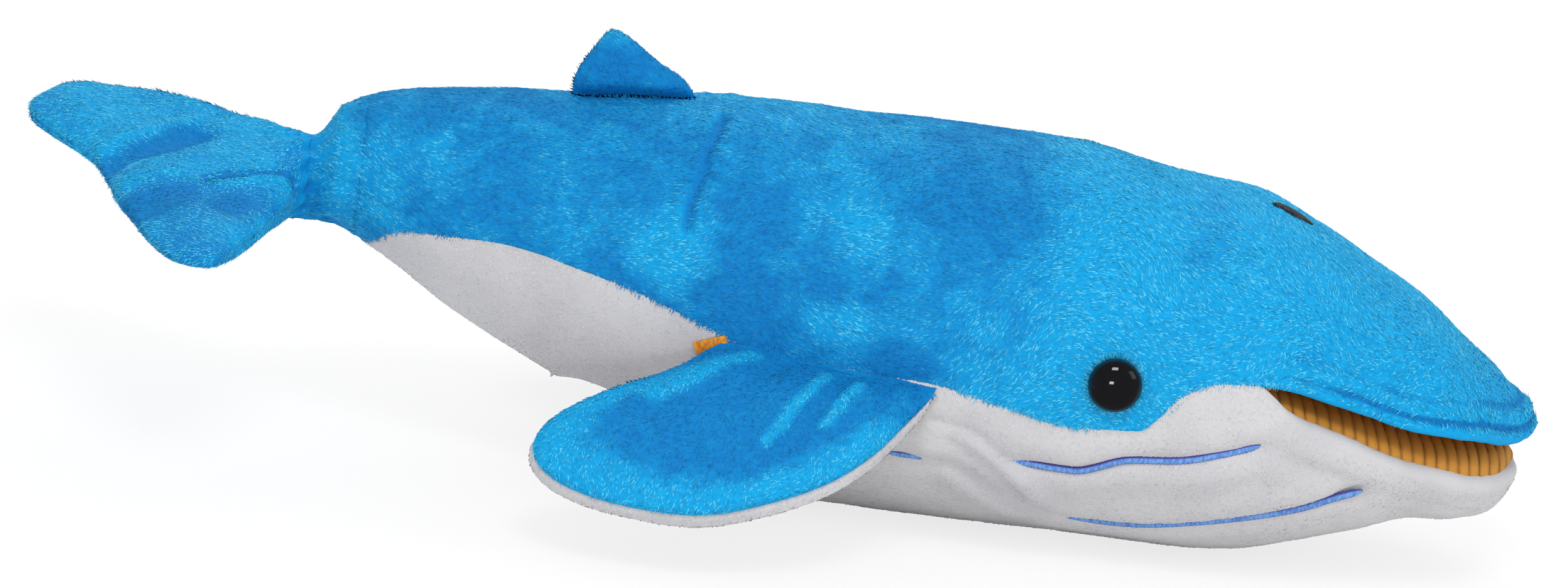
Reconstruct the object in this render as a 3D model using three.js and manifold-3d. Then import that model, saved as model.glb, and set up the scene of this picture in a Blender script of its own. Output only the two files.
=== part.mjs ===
// Whale hand puppet in plush, lying on its belly.
// Millimetres. +X runs from the tail to the snout, +Y to the whale's left, +Z up,
// and the origin is on the flat of the belly that it lies on.
import * as THREE from 'three';
import { mergeVertices } from 'three/addons/utils/BufferGeometryUtils.js';
import Module from 'manifold-3d';

const wasm = await Module();
wasm.setup();

// Fabrics, paddings and clearances
const GAP = 0.3;
const SKIN = 2.5;
const FIN_SKIN = 1.6;
const LINING = 1.0;
const PALATE = 1.5;
const PALATE_PAD = 2.5;
const JAW_FILL = 2.5;
const HEM_WIDTH = 3.0;
const FAR = 200;

// The stuffed body: place along it, height of its back, height of its belly, half its width
const BODY = [
  [-191, 76, 55, 9.5],
  [-184, 82.5, 54.5, 14.5],
  [-172, 88, 49, 19.5],
  [-152, 91, 36.5, 26],
  [-122, 93, 22, 34],
  [-92, 95.5, 8.5, 41],
  [-70, 96, 1, 45.5],
  [-58, 96, -0.5, 47.5],
  [-32, 96, -0.5, 50.5],
  [0, 94.5, -0.5, 53],
  [27, 89.5, -0.5, 53.5],
  [45, 87.5, 0.5, 52],
  [60, 81.5, 4, 49.5],
  [75, 73.7, 8.6, 46],
  [90, 65.8, 13.4, 41.5],
  [102, 57, 13.6, 36.5],
  [112, 52.4, 11.6, 32],
  [122, 48, 14, 27],
];
const SNOUT_TIP = 122;
const JAW_SETBACK = 4;
const BLUNT_FROM = 95;
const TIP_HEIGHT = 36.5;
const TIP_FLAT = 0.4;
const BLUNTNESS = 2.3;
const TAIL_END = -185;
const ROUNDNESS = 2.15;
const BODY_SIDES = 20;
const FLATS = Math.cos(Math.PI / BODY_SIDES);
const BODY_STEPS = 17;
const BLUNT_STEPS = 5;

// Side seam between the blue back and the white belly: place along the body, height
const SEAM = [
  [-191, 54], [-175, 55.5], [-167, 59], [-144, 60.5], [-121, 57.5], [-105, 54], [-85, 47.5],
  [-75, 45.5], [-38, 44.5], [-17, 41], [-2, 38.5], [14, 39.5], [24, 50], [32, 53.5], [44, 54],
];

// Mouth, seen from the side: its corner, the upper rim and the lower lip
const MOUTH_CORNER = [42, 54];
const RIM = [[42, 54], [50, 53], [58, 51.3], [67, 49], [80, 45.3], [99, 42.2], [116, 38], [124, 38]];
const LIP = [[42, 52], [49, 48.7], [63, 44.1], [78, 39.1], [84, 36.7], [97, 34.2], [106, 32.8], [124, 32.8]];
const LIP_BAND = 4;
const RIM_BAND = 0.8;
const CORNER_CLEARANCE = 0.6;

// Folds of the skin at the mouth corner, as angles up from the snout's direction
const NECK_FOLD = [86, 111];
const THROAT_FOLD = [-98, -70];

// Room for the hand: place along it, height of its roof, height of its floor, half its width
const HAND = [
  [-124, 44, 10, 20],
  [-112, 57, 2, 26],
  [-92, 67, -5, 30],
  [-76, 73, -6, 33],
  [-62, 76, 14, 36],
  [-30, 77, 18, 39],
  [0, 76, 19, 40],
  [25, 73, 19, 40],
  [46, 71, 19, 39],
];
const HAND_SIDES = 14;
const HAND_STEPS = 10;
const TAIL_FILL_FROM = -130;
const STUFFING_SPLIT = 48;

// Pockets for the fingers and the thumb: place along them, half their width
const FINGER_POCKET = [[36, 34], [60, 31], [78, 27], [93, 19]];
const THUMB_POCKET = [[36, 35], [60, 32], [78, 27.5], [98, 17]];
const POCKET_STEPS = 5;

// Eyes
const EYE = { x: 6.5, z: 50.4, radius: 6.5, height: 4.6, rim: 0.8, shank: 2, shankLength: 9 };
const EYE_WASHER = { radius: 7, thickness: 1.6 };
const EYE_SIDES = 14;
const EYE_STEPS = 4;

// Blowhole patch
const BLOWHOLE = { x: 51, y: -4, length: 11, width: 4.6, thickness: 1, drop: 0.2, pitch: 16 };

// Stitched throat grooves: place along the body, height
const UPPER_GROOVE = [[-38, 36.6], [-25, 33.6], [-14, 27.1], [0, 26.5], [13, 31.4], [25, 33], [35, 35.5]];
const LOWER_GROOVE = [[-46, 24], [-32, 24.2], [-14, 15.7], [3, 10.4], [18, 11.2], [32, 13.6]];
const JAW_GROOVE = [[58, 21], [65, 24.5], [72, 27.4]];
const GROOVE_RADIUS = 1.0;
const GROOVE_STEP = 6;

// Ribbon tab in the side seam
const TAB = { x: -91, z: 46.5, length: 6.5, width: 3.2, thickness: 0.8, standoff: 0.1, turn: -12 };

// Flippers: ends of the sewn root on the body, droop, and the free edge from the root's front end
// to its rear end, as places along the root and outward from it
const FLIPPER_ROOT = { rear: [-85.3, 47], front: [-36.4, 44.4] };
const FLIPPER_DROOP = 34;
const FLIPPER_EDGE = [
  [47.5, 5], [43.5, 14], [38, 27], [30, 38], [18, 48], [4, 55],
  [-12, 57], [-27, 55.5], [-36.5, 51], [-40, 44], [-37, 35], [-28, 25], [-13, 12.5],
];
const FLIPPER_CENTRE = [8, 25];
const FLIPPER_THICKNESS = 13;
const FLIPPER_TAPER = 16;
const ROOT_STEPS = 4;
const ROOT_THINNESS = 0.08;
const FULLNESS = 2.4;

// Dorsal fin: where its sewn root starts and ends on the back, and its free edge, along the root
// and up from it
const FIN_ROOT = [-129, -97.5];
const FIN_EDGE = [
  [28, 4.2], [21, 8.4], [14, 14.2], [10.5, 16.3], [7.5, 15.9], [3.5, 9.6], [0.5, 4.2],
];
const FIN_CENTRE = [12, 6.5];
const FIN_THICKNESS = 8;
const FIN_TAPER = 4;

// Tail flukes: waist, turn to the whale's right, roll, and sections along them
const WAIST = [-191, 64.5];
const FLUKES_TURN = 21;
const FLUKES_ROLL = 6;
const WAIST_HALF = 10;
const FLUKES = [
  [6, 12, 9.5],
  [12, 22, 8.5],
  [20, 33, 7.4],
  [29, 44, 6.4],
  [38, 51.5, 5.6],
  [46, 55.5, 4.8],
  [51.5, 56, 3.6],
  [55, 52, 1.8],
];
const FLUKE_SIDES = 20;
const THINNEST_FILL = 0.3;

const COLOURS = {
  velour: new THREE.MeshStandardMaterial({ color: 0x1a86d0, roughness: 0.75, metalness: 0 }),
  plush: new THREE.MeshStandardMaterial({ color: 0xcac6cb, roughness: 0.95, metalness: 0 }),
  corduroy: new THREE.MeshStandardMaterial({ color: 0xa86a14, roughness: 0.9, metalness: 0 }),
  stuffing: new THREE.MeshStandardMaterial({ color: 0xf2f0ea, roughness: 1, metalness: 0 }),
  foam: new THREE.MeshStandardMaterial({ color: 0xd9d4c4, roughness: 1, metalness: 0 }),
  lining: new THREE.MeshStandardMaterial({ color: 0xb9bcc2, roughness: 0.9, metalness: 0 }),
  eye: new THREE.MeshStandardMaterial({ color: 0x0a0a0a, roughness: 0.08, metalness: 0 }),
  washer: new THREE.MeshStandardMaterial({ color: 0xe8e8e4, roughness: 0.5, metalness: 0 }),
  blackThread: new THREE.MeshStandardMaterial({ color: 0x16181c, roughness: 0.8, metalness: 0 }),
  grooveThread: new THREE.MeshStandardMaterial({ color: 0x4a5cc0, roughness: 0.7, metalness: 0 }),
  ribbon: new THREE.MeshStandardMaterial({ color: 0xd98a22, roughness: 0.7, metalness: 0 }),
};

const puppet = new THREE.Group();
const radians = THREE.MathUtils.degToRad;

function add(name, shape, colour, parent = puppet) {
  const geometry = shape.isBufferGeometry ? shape : geometryOf(shape);
  const mesh = new THREE.Mesh(geometry, COLOURS[colour]);
  mesh.name = name;
  parent.add(mesh);
  return mesh;
}

// Solids for cutting and joining
function solidOf(geometry) {
  const bare = geometry.clone();
  bare.deleteAttribute('normal');
  bare.deleteAttribute('uv');
  const merged = mergeVertices(bare, 1e-4);
  const vertProperties = new Float32Array(merged.attributes.position.array);
  const triVerts = new Uint32Array(merged.index.array);
  return new wasm.Manifold(new wasm.Mesh({ numProp: 3, vertProperties, triVerts }));
}

function geometryOf(solid) {
  const mesh = solid.getMesh();
  const geometry = new THREE.BufferGeometry();
  geometry.setAttribute('position', new THREE.BufferAttribute(new Float32Array(mesh.vertProperties), 3));
  geometry.setIndex(new THREE.BufferAttribute(new Uint32Array(mesh.triVerts), 1));
  return geometry;
}

// Smooth curve through rows of [place, value, ...] that never overshoots them
function curveThrough(rows, column = 1) {
  const x = rows.map((row) => row[0]);
  const y = rows.map((row) => row[column]);
  const last = x.length - 1;
  const step = x.slice(1).map((value, i) => value - x[i]);
  const rise = step.map((value, i) => (y[i + 1] - y[i]) / value);
  const slope = x.map((value, i) => {
    if (i === 0) return rise[0];
    if (i === last) return rise[last - 1];
    if (rise[i - 1] * rise[i] <= 0) return 0;
    const before = 2 * step[i] + step[i - 1];
    const after = step[i] + 2 * step[i - 1];
    return (before + after) / (before / rise[i - 1] + after / rise[i]);
  });
  return (place) => {
    const at = THREE.MathUtils.clamp(place, x[0], x[last]);
    let i = 0;
    while (i < last - 1 && at > x[i + 1]) i += 1;
    const t = (at - x[i]) / step[i];
    const u = 1 - t;
    return (1 + 2 * t) * u * u * y[i] + t * u * u * step[i] * slope[i]
      + t * t * (3 - 2 * t) * y[i + 1] - t * t * u * step[i] * slope[i + 1];
  };
}

// Closed skin over rings of equal length, with a flat cap or a point at each end
function loft(rings) {
  const sides = rings[0].length;
  const points = rings.flat();
  const index = [];
  for (let r = 0; r + 1 < rings.length; r += 1) {
    for (let s = 0; s < sides; s += 1) {
      const a = r * sides + s;
      const b = r * sides + ((s + 1) % sides);
      index.push(a, b, a + sides, b, b + sides, a + sides);
    }
  }
  const caps = [[0, true], [rings.length - 1, false]];
  for (const [r, first] of caps) {
    const centre = rings[r].reduce((sum, p) => sum.add(p), new THREE.Vector3()).divideScalar(sides);
    points.push(centre);
    for (let s = 0; s < sides; s += 1) {
      const a = r * sides + s;
      const b = r * sides + ((s + 1) % sides);
      if (first) index.push(points.length - 1, b, a);
      else index.push(points.length - 1, a, b);
    }
  }
  const geometry = new THREE.BufferGeometry().setFromPoints(points);
  geometry.setIndex(index);
  return geometry;
}

// One ring of a rounded section in the plane across X
function sectionRing(x, top, bottom, half, sides) {
  const ring = [];
  for (let s = 0; s < sides; s += 1) {
    const angle = (2 * Math.PI * s) / sides;
    const across = Math.sign(Math.cos(angle)) * Math.abs(Math.cos(angle)) ** (2 / ROUNDNESS);
    const upward = Math.sign(Math.sin(angle)) * Math.abs(Math.sin(angle)) ** (2 / ROUNDNESS);
    ring.push(new THREE.Vector3(x, half * across, (top + bottom) / 2 + ((top - bottom) / 2) * upward));
  }
  return ring;
}

// Body section at a place, drawn in by an inset; past BLUNT_FROM it closes round to the tip
const bodyTop = curveThrough(BODY, 1);
const bodyBottom = curveThrough(BODY, 2);
const bodyHalf = curveThrough(BODY, 3);

function bodySection(x, inset = 0, tip = SNOUT_TIP) {
  const past = THREE.MathUtils.clamp((x - BLUNT_FROM) / (tip - inset - BLUNT_FROM), 0, 1);
  const height = (1 - past ** BLUNTNESS) ** (1 / BLUNTNESS);
  const width = (1 - past ** 2) ** 0.5;
  return {
    top: TIP_HEIGHT + (bodyTop(x) - inset - TIP_HEIGHT) * height,
    bottom: TIP_HEIGHT + (bodyBottom(x) + inset - TIP_HEIGHT) * height,
    half: (bodyHalf(x) - inset) * width,
  };
}

function bodySolid(inset = 0, tip = SNOUT_TIP) {
  const places = [];
  for (let i = 0; i < BODY_STEPS; i += 1) {
    places.push(BODY[0][0] + ((BLUNT_FROM - BODY[0][0]) * i) / BODY_STEPS);
  }
  for (let i = 0; i < BLUNT_STEPS; i += 1) {
    places.push(BLUNT_FROM + (tip - inset - BLUNT_FROM) * Math.sin((Math.PI / 2) * (i / BLUNT_STEPS)));
  }
  places.push(tip - inset - TIP_FLAT);
  const rings = places.map((x) => {
    const { top, bottom, half } = bodySection(x, inset, tip);
    return sectionRing(x, top, bottom, half, BODY_SIDES);
  });
  const floor = box(BODY[0][0], SNOUT_TIP, -FAR / 2, FAR / 2, inset, FAR);
  return solidOf(loft(rings)).intersect(floor);
}

// Half the body's width at a place and height. The flats between the corners of its rings lie
// inside this curve, at FLATS of it.
function bodyReach(x, z, inset = 0) {
  const { top, bottom, half } = bodySection(x, inset);
  const level = Math.abs(z - (top + bottom) / 2) / ((top - bottom) / 2);
  return half * (1 - level ** ROUNDNESS) ** (1 / ROUNDNESS);
}

function box(x0, x1, y0, y1, z0, z1) {
  const geometry = new THREE.BoxGeometry(x1 - x0, y1 - y0, z1 - z0);
  geometry.translate((x0 + x1) / 2, (y0 + y1) / 2, (z0 + z1) / 2);
  return solidOf(geometry);
}

// Solid that fills a side-view outline right through the body
function sideRegion(outline) {
  const shape = new THREE.Shape(outline.map(([x, z]) => new THREE.Vector2(x, z)));
  const geometry = new THREE.ExtrudeGeometry(shape, { depth: FAR, bevelEnabled: false });
  geometry.rotateX(Math.PI / 2);
  geometry.translate(0, FAR / 2, 0);
  return solidOf(geometry);
}

// Everything above or below a side-view line, or the band of a thickness that stands on it
const above = (line, lift = 0) => sideRegion([
  [-FAR, line[0][1] + lift], ...line.map(([x, z]) => [x, z + lift]),
  [FAR, line.at(-1)[1] + lift], [FAR, FAR], [-FAR, FAR],
]);
const below = (line, lift = 0) => sideRegion([
  [-FAR, line[0][1] + lift], [-FAR, -FAR], [FAR, -FAR], [FAR, line.at(-1)[1] + lift],
  ...line.map(([x, z]) => [x, z + lift]).reverse(),
]);
const band = (line, from, to) => above(line, from).intersect(below(line, to));

// Wedge between two angles at the mouth corner, drawn in on both faces by a clearance
function wedge(from, to, clearance) {
  const middle = radians((from + to) / 2);
  const spread = radians((to - from) / 2);
  const shift = clearance / Math.sin(spread);
  const apex = [MOUTH_CORNER[0] + Math.cos(middle) * shift, MOUTH_CORNER[1] + Math.sin(middle) * shift];
  const ray = (angle) => [apex[0] + Math.cos(radians(angle)) * FAR, apex[1] + Math.sin(radians(angle)) * FAR];
  return sideRegion([apex, ray(from), ray((from + to) / 2), ray(to)]);
}

// Space of rounded sections, grown by a margin
function roomSolid(rows, steps, margin = 0) {
  const top = curveThrough(rows, 1);
  const bottom = curveThrough(rows, 2);
  const half = curveThrough(rows, 3);
  const from = rows[0][0];
  const to = rows.at(-1)[0];
  const rings = [];
  for (let i = 0; i <= steps; i += 1) {
    const x = from + ((to - from) * i) / steps;
    const outward = i === 0 ? -margin : (i === steps ? margin : 0);
    rings.push(sectionRing(x + outward, top(x) + margin, bottom(x) - margin, half(x) + margin, HAND_SIDES));
  }
  return solidOf(loft(rings));
}

// Height of a side-view line at a place
function lineHeight(line, x) {
  const i = Math.max(1, line.findIndex(([place]) => place >= x));
  const t = (x - line[i - 1][0]) / (line[i][0] - line[i - 1][0]);
  return THREE.MathUtils.lerp(line[i - 1][1], line[i][1], t);
}

// Regions of the body that its parts take
const throughTrunk = box(TAIL_END, FAR, -FAR, FAR, -FAR, FAR)
  .subtract(wedge(THROAT_FOLD[0], NECK_FOLD[1], -GAP / 2));
const aheadOfFolds = wedge(THROAT_FOLD[1], NECK_FOLD[0], GAP / 2);
const cornerRelief = cornerCylinder(CORNER_CLEARANCE);

function cornerCylinder(radius) {
  const geometry = new THREE.CylinderGeometry(radius, radius, FAR, 12);
  geometry.translate(MOUTH_CORNER[0], 0, 0);
  geometry.translate(0, 0, MOUTH_CORNER[1]);
  return solidOf(geometry);
}

// Skins of the body
const outside = bodySolid();
const inside = bodySolid(SKIN);
const shell = outside.subtract(inside);
const room = roomSolid(HAND, HAND_STEPS);
const jawOutside = bodySolid(0, SNOUT_TIP - JAW_SETBACK);
const jawInside = bodySolid(SKIN, SNOUT_TIP - JAW_SETBACK);

const eyeReach = bodyReach(EYE.x, EYE.z);
const washerDepth = eyeReach - bodyReach(EYE.x, EYE.z + EYE_WASHER.radius, SKIN) * FLATS + GAP;

function eyeProfile(margin = 0) {
  const profile = [];
  for (let i = 0; i <= EYE_STEPS; i += 1) {
    const angle = (Math.PI / 2) * (i / EYE_STEPS);
    profile.push(new THREE.Vector2(
      (EYE.radius + margin) * Math.sin(angle),
      EYE.rim + (EYE.height - EYE.rim + margin) * Math.cos(angle),
    ));
  }
  profile[0].x = 0;
  profile.push(new THREE.Vector2(EYE.radius + margin, -EYE.rim - margin));
  profile.push(new THREE.Vector2(EYE.shank + margin, -EYE.rim - margin));
  profile.push(new THREE.Vector2(EYE.shank + margin, -EYE.shankLength - margin));
  profile.push(new THREE.Vector2(0, -EYE.shankLength - margin));
  return profile.reverse();
}

// A turned piece on an eye's axis, whose place on it counts outward from the skin
function onEyeAxis(profile, side) {
  const geometry = new THREE.LatheGeometry(profile, EYE_SIDES);
  if (side < 0) geometry.rotateX(Math.PI);
  geometry.translate(EYE.x, side * eyeReach, EYE.z);
  return geometry;
}

function washerProfile(margin = 0) {
  const inner = EYE.shank + GAP;
  const face = -washerDepth;
  const back = face - EYE_WASHER.thickness - margin;
  const outer = EYE_WASHER.radius + margin;
  const corners = [[inner, back], [outer, back], [outer, face + margin], [inner, face + margin]];
  return [...corners, corners[0]].map(([r, y]) => new THREE.Vector2(r, y));
}

// A stitched groove that follows the skin, on the side given, cut short at both ends by a trim
function grooveTube(line, side, radius, trim = 0) {
  const onSkin = line.map(([x, z]) => new THREE.Vector3(x, side * bodyReach(x, z), z));
  const whole = new THREE.CatmullRomCurve3(onSkin);
  const cut = trim / whole.getLength();
  const path = new THREE.CatmullRomCurve3(line.map((corner, i) => (
    whole.getPointAt(THREE.MathUtils.lerp(cut, 1 - cut, i / (line.length - 1))))));
  const steps = Math.ceil(path.getLength() / GROOVE_STEP);
  const circle = new THREE.Shape();
  circle.absarc(0, 0, radius, 0, 2 * Math.PI);
  const sweep = { steps, curveSegments: 4, bevelEnabled: false, extrudePath: path };
  return solidOf(new THREE.ExtrudeGeometry(circle, sweep));
}

const grooves = [];
for (const [side, label] of [[1, 'left'], [-1, 'right']]) {
  grooves.push({ name: `throat_groove_upper_${label}`, line: UPPER_GROOVE, side });
  grooves.push({ name: `throat_groove_lower_${label}`, line: LOWER_GROOVE, side });
  grooves.push({ name: `jaw_groove_${label}`, line: JAW_GROOVE, side });
}
const grooveBeds = wasm.Manifold.union(
  grooves.map(({ line, side }) => grooveTube(line, side, GROOVE_RADIUS + GAP)),
);
const eyeBeds = wasm.Manifold.union([1, -1].map((side) => solidOf(onEyeAxis(eyeProfile(GAP), side))));
const washerBeds = wasm.Manifold.union([1, -1].map((side) => solidOf(onEyeAxis(washerProfile(GAP), side))));

// Trunk: skins, hem, hand sleeve and stuffing
const trunkInside = bodySolid(SKIN + GAP).intersect(throughTrunk);
const handOpening = roomSolid(HAND, HAND_STEPS, HEM_WIDTH + GAP);
const trunkShell = shell.intersect(throughTrunk);
const bellyShell = trunkShell.intersect(below(SEAM, -GAP / 2));
add('back_panel', trunkShell.intersect(above(SEAM, GAP / 2)).subtract(eyeBeds), 'velour');
add('belly_panel', bellyShell.subtract(handOpening).subtract(grooveBeds), 'plush');
const hem = roomSolid(HAND, HAND_STEPS, HEM_WIDTH).subtract(room);
add('hand_opening_hem', bellyShell.intersect(hem), 'lining');
const sleeve = roomSolid(HAND, HAND_STEPS, LINING).subtract(room);
add('hand_sleeve', sleeve.intersect(trunkInside), 'lining');
const sleeveBed = roomSolid(HAND, HAND_STEPS, LINING + GAP);
const trunkFill = trunkInside.subtract(sleeveBed).subtract(eyeBeds).subtract(washerBeds);
const aheadOfTail = box(TAIL_FILL_FROM + GAP, FAR, -FAR, FAR, -FAR, FAR);
const overSplit = box(-FAR, FAR, -FAR, FAR, STUFFING_SPLIT + GAP / 2, FAR);
const underSplit = box(-FAR, FAR, -FAR, FAR, -FAR, STUFFING_SPLIT - GAP / 2);
add('back_stuffing', trunkFill.intersect(aheadOfTail).intersect(overSplit), 'stuffing');
add('belly_stuffing', trunkFill.intersect(aheadOfTail).intersect(underSplit), 'stuffing');
add('tail_stuffing', trunkFill.intersect(box(-FAR, TAIL_FILL_FROM, -FAR, FAR, -FAR, FAR)), 'stuffing');

// Folds of skin that give when the mouth opens
const neckWedge = wedge(NECK_FOLD[0], NECK_FOLD[1], GAP / 2);
const throatWedge = wedge(THROAT_FOLD[0], THROAT_FOLD[1], GAP / 2);
add('neck_fold', shell.intersect(neckWedge), 'velour');
add('throat_fold', shell.intersect(throatWedge).subtract(grooveBeds), 'plush');

// Upper jaw
const palateStack = PALATE + PALATE_PAD + 2 * GAP;
const ofJaw = (solid) => solid.intersect(aheadOfFolds).subtract(cornerRelief);
const snoutInside = bodySolid(SKIN + GAP);
const fingerRows = FINGER_POCKET.map(([x, half]) => [
  x, bodyTop(x) - SKIN - 2 * GAP - JAW_FILL - LINING,
  lineHeight(RIM, Math.max(x, MOUTH_CORNER[0])) + palateStack + LINING, half,
]);
const fingerRoom = roomSolid(fingerRows, POCKET_STEPS);
const blowholeBed = blowholeLens(GAP);
add('snout_panel', ofJaw(shell).intersect(above(RIM, PALATE + GAP)).subtract(blowholeBed), 'velour');
add('upper_palate', ofJaw(bodySolid(RIM_BAND)).intersect(band(RIM, 0, PALATE)), 'corduroy');
add('upper_palate_pad', ofJaw(snoutInside).intersect(band(RIM, PALATE + GAP, palateStack - GAP)), 'foam');
const overPalate = above(RIM, palateStack);
const fingerSleeve = roomSolid(fingerRows, POCKET_STEPS, LINING).subtract(fingerRoom);
add('finger_pocket', ofJaw(fingerSleeve).intersect(overPalate), 'lining');
const snoutFill = snoutInside.subtract(roomSolid(fingerRows, POCKET_STEPS, LINING + GAP));
add('snout_stuffing', ofJaw(snoutFill).intersect(overPalate), 'stuffing');
add('blowhole_patch', blowholeLens(0), 'blackThread');

// Pointed oval that lies in the top of the snout, cut from two round discs
function blowholeLens(margin) {
  const reach = BLOWHOLE.length / 2 + margin;
  const side = BLOWHOLE.width / 2 + margin;
  const radius = (reach * reach + side * side) / (2 * side);
  const depth = BLOWHOLE.thickness + 2 * margin;
  const discs = [1, -1].map((way) => {
    const disc = new THREE.CylinderGeometry(radius, radius, depth, 36);
    disc.rotateX(Math.PI / 2);
    disc.translate(0, way * (radius - side), 0);
    disc.rotateY(radians(BLOWHOLE.pitch));
    disc.translate(BLOWHOLE.x, BLOWHOLE.y, bodyTop(BLOWHOLE.x) - BLOWHOLE.drop);
    return solidOf(disc);
  });
  return discs[0].intersect(discs[1]);
}

// Lower jaw
const jawFillOutside = bodySolid(SKIN + GAP, SNOUT_TIP - JAW_SETBACK);
const thumbRows = THUMB_POCKET.map(([x, half]) => [
  x, lineHeight(LIP, Math.max(x, MOUTH_CORNER[0])) - PALATE_PAD - 2 * GAP - LINING,
  bodyBottom(x) + SKIN + 2 * GAP + JAW_FILL + LINING, half,
]);
const thumbRoom = roomSolid(thumbRows, POCKET_STEPS);
const jawShell = jawOutside.subtract(jawInside).intersect(below(LIP, 0));
add('jaw_panel', ofJaw(jawShell).subtract(grooveBeds), 'plush');
const lipInside = bodySolid(LIP_BAND, SNOUT_TIP - JAW_SETBACK);
add('lower_palate', ofJaw(lipInside).intersect(band(LIP, 0, PALATE)), 'corduroy');
add('lower_palate_pad', ofJaw(jawFillOutside).intersect(band(LIP, -GAP - PALATE_PAD, -GAP)), 'foam');
const underPalate = below(LIP, -2 * GAP - PALATE_PAD);
const thumbSleeve = roomSolid(thumbRows, POCKET_STEPS, LINING).subtract(thumbRoom);
add('thumb_pocket', ofJaw(thumbSleeve).intersect(underPalate), 'lining');
const jawFill = jawFillOutside.subtract(roomSolid(thumbRows, POCKET_STEPS, LINING + GAP));
add('jaw_stuffing', ofJaw(jawFill).intersect(underPalate), 'stuffing');

// Eyes with their lock washers, and the stitched grooves
for (const [side, label] of [[1, 'left'], [-1, 'right']]) {
  add(`eye_${label}`, onEyeAxis(eyeProfile(), side), 'eye');
  add(`eye_washer_${label}`, onEyeAxis(washerProfile(), side), 'washer');
}
for (const { name, line, side } of grooves) {
  add(name, grooveTube(line, side, GROOVE_RADIUS, GAP), 'grooveThread');
}

// Ribbon tab
const tab = new THREE.BoxGeometry(TAB.length, TAB.thickness, TAB.width);
const tabMesh = add('seam_tab', tab, 'ribbon');
tabMesh.position.set(TAB.x, -bodyReach(TAB.x, TAB.z) - TAB.standoff - TAB.thickness / 2, TAB.z);
tabMesh.rotation.z = radians(TAB.turn);

// Stuffed pad: a flat outline that swells to its thickness at the centre, and is thin along its root
function pillow({ outline, centre, thickness, taper }, inset = 0) {
  const levels = [1, 0.94, 0.76, 0.42];
  const half = thickness / 2 - inset;
  const reach = outline.map(([x, y]) => Math.hypot(x - centre[0], y - centre[1]));
  const at = (i, level) => {
    const grow = (level * (reach[i] - inset)) / reach[i];
    return [centre[0] + (outline[i][0] - centre[0]) * grow, centre[1] + (outline[i][1] - centre[1]) * grow];
  };
  const points = [];
  const index = [];
  const sides = outline.length;
  const rings = [
    ...levels.map((level) => [level, 1]).reverse(),
    ...levels.slice(1).map((level) => [level, -1]),
  ];
  for (const [level, way] of rings) {
    const rise = way * half * (1 - level ** FULLNESS) ** (1 / FULLNESS);
    outline.forEach((corner, i) => {
      const [x, y] = at(i, level);
      const fromRoot = THREE.MathUtils.clamp(y / taper, ROOT_THINNESS, 1);
      points.push(new THREE.Vector3(x, y, rise * fromRoot));
    });
  }
  for (let r = 0; r + 1 < rings.length; r += 1) {
    for (let s = 0; s < sides; s += 1) {
      const a = r * sides + s;
      const b = r * sides + ((s + 1) % sides);
      index.push(a, a + sides, b, b, a + sides, b + sides);
    }
  }
  points.push(new THREE.Vector3(centre[0], centre[1], half), new THREE.Vector3(centre[0], centre[1], -half));
  const lastRing = (rings.length - 1) * sides;
  for (let s = 0; s < sides; s += 1) {
    const next = (s + 1) % sides;
    index.push(points.length - 2, s, next);
    index.push(points.length - 1, lastRing + next, lastRing + s);
  }
  const geometry = new THREE.BufferGeometry().setFromPoints(points);
  geometry.setIndex(index);
  return solidOf(geometry);
}

// The two skins and the stuffing of a pad, split on its middle plane
function padPieces(pad) {
  const cover = pillow(pad).subtract(pillow(pad, FIN_SKIN));
  return {
    upper: cover.intersect(box(-FAR, FAR, -FAR, FAR, GAP / 2, FAR)),
    under: cover.intersect(box(-FAR, FAR, -FAR, FAR, -FAR, -GAP / 2)),
    fill: pillow(pad, FIN_SKIN + GAP),
  };
}

// Root of a pad: points along it, each moved out as far as the body bows past the straight line
function sewnRoot(length, bow) {
  const root = [];
  for (let i = 0; i <= ROOT_STEPS; i += 1) {
    const share = i / ROOT_STEPS;
    root.push([length * share, bow(share)]);
  }
  return root;
}

// Frame of a flipper: along its root, outward with the droop, and off its upper face
function flipperFrame(side) {
  const [rear, front] = [rootRear, rootFront].map(({ x, y, z }) => (
    new THREE.Vector3(x, side * (y * FLATS + GAP), z)));
  const along = front.clone().sub(rear).normalize();
  const level = new THREE.Vector3(0, side, 0).addScaledVector(along, -side * along.y).normalize();
  const upward = new THREE.Vector3().crossVectors(along, level).multiplyScalar(side);
  const droop = radians(FLIPPER_DROOP);
  const outward = level.clone().multiplyScalar(Math.cos(droop)).addScaledVector(upward, -Math.sin(droop));
  const frame = new THREE.Group();
  frame.position.copy(rear);
  const facing = new THREE.Vector3().crossVectors(along, outward);
  frame.setRotationFromMatrix(new THREE.Matrix4().makeBasis(along, outward, facing));
  return frame;
}

const [rootRear, rootFront] = [FLIPPER_ROOT.rear, FLIPPER_ROOT.front].map(([x, z]) => (
  new THREE.Vector3(x, bodyReach(x, z), z)));
const flipperRoot = sewnRoot(rootRear.distanceTo(rootFront), (share) => {
  const line = rootRear.clone().lerp(rootFront, share);
  return (bodyReach(line.x, line.z) - line.y) / Math.cos(radians(FLIPPER_DROOP));
});
const flipper = padPieces({
  outline: [...flipperRoot, ...FLIPPER_EDGE],
  centre: FLIPPER_CENTRE,
  thickness: FLIPPER_THICKNESS,
  taper: FLIPPER_TAPER,
});
for (const [side, label] of [[1, 'left'], [-1, 'right']]) {
  const frame = flipperFrame(side);
  const blue = side > 0 ? flipper.upper : flipper.under;
  const white = side > 0 ? flipper.under : flipper.upper;
  add(`flipper_top_${label}`, blue, 'velour', frame);
  add(`flipper_under_${label}`, white, 'plush', frame);
  add(`flipper_stuffing_${label}`, flipper.fill, 'stuffing', frame);
  puppet.add(frame);
}

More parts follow.
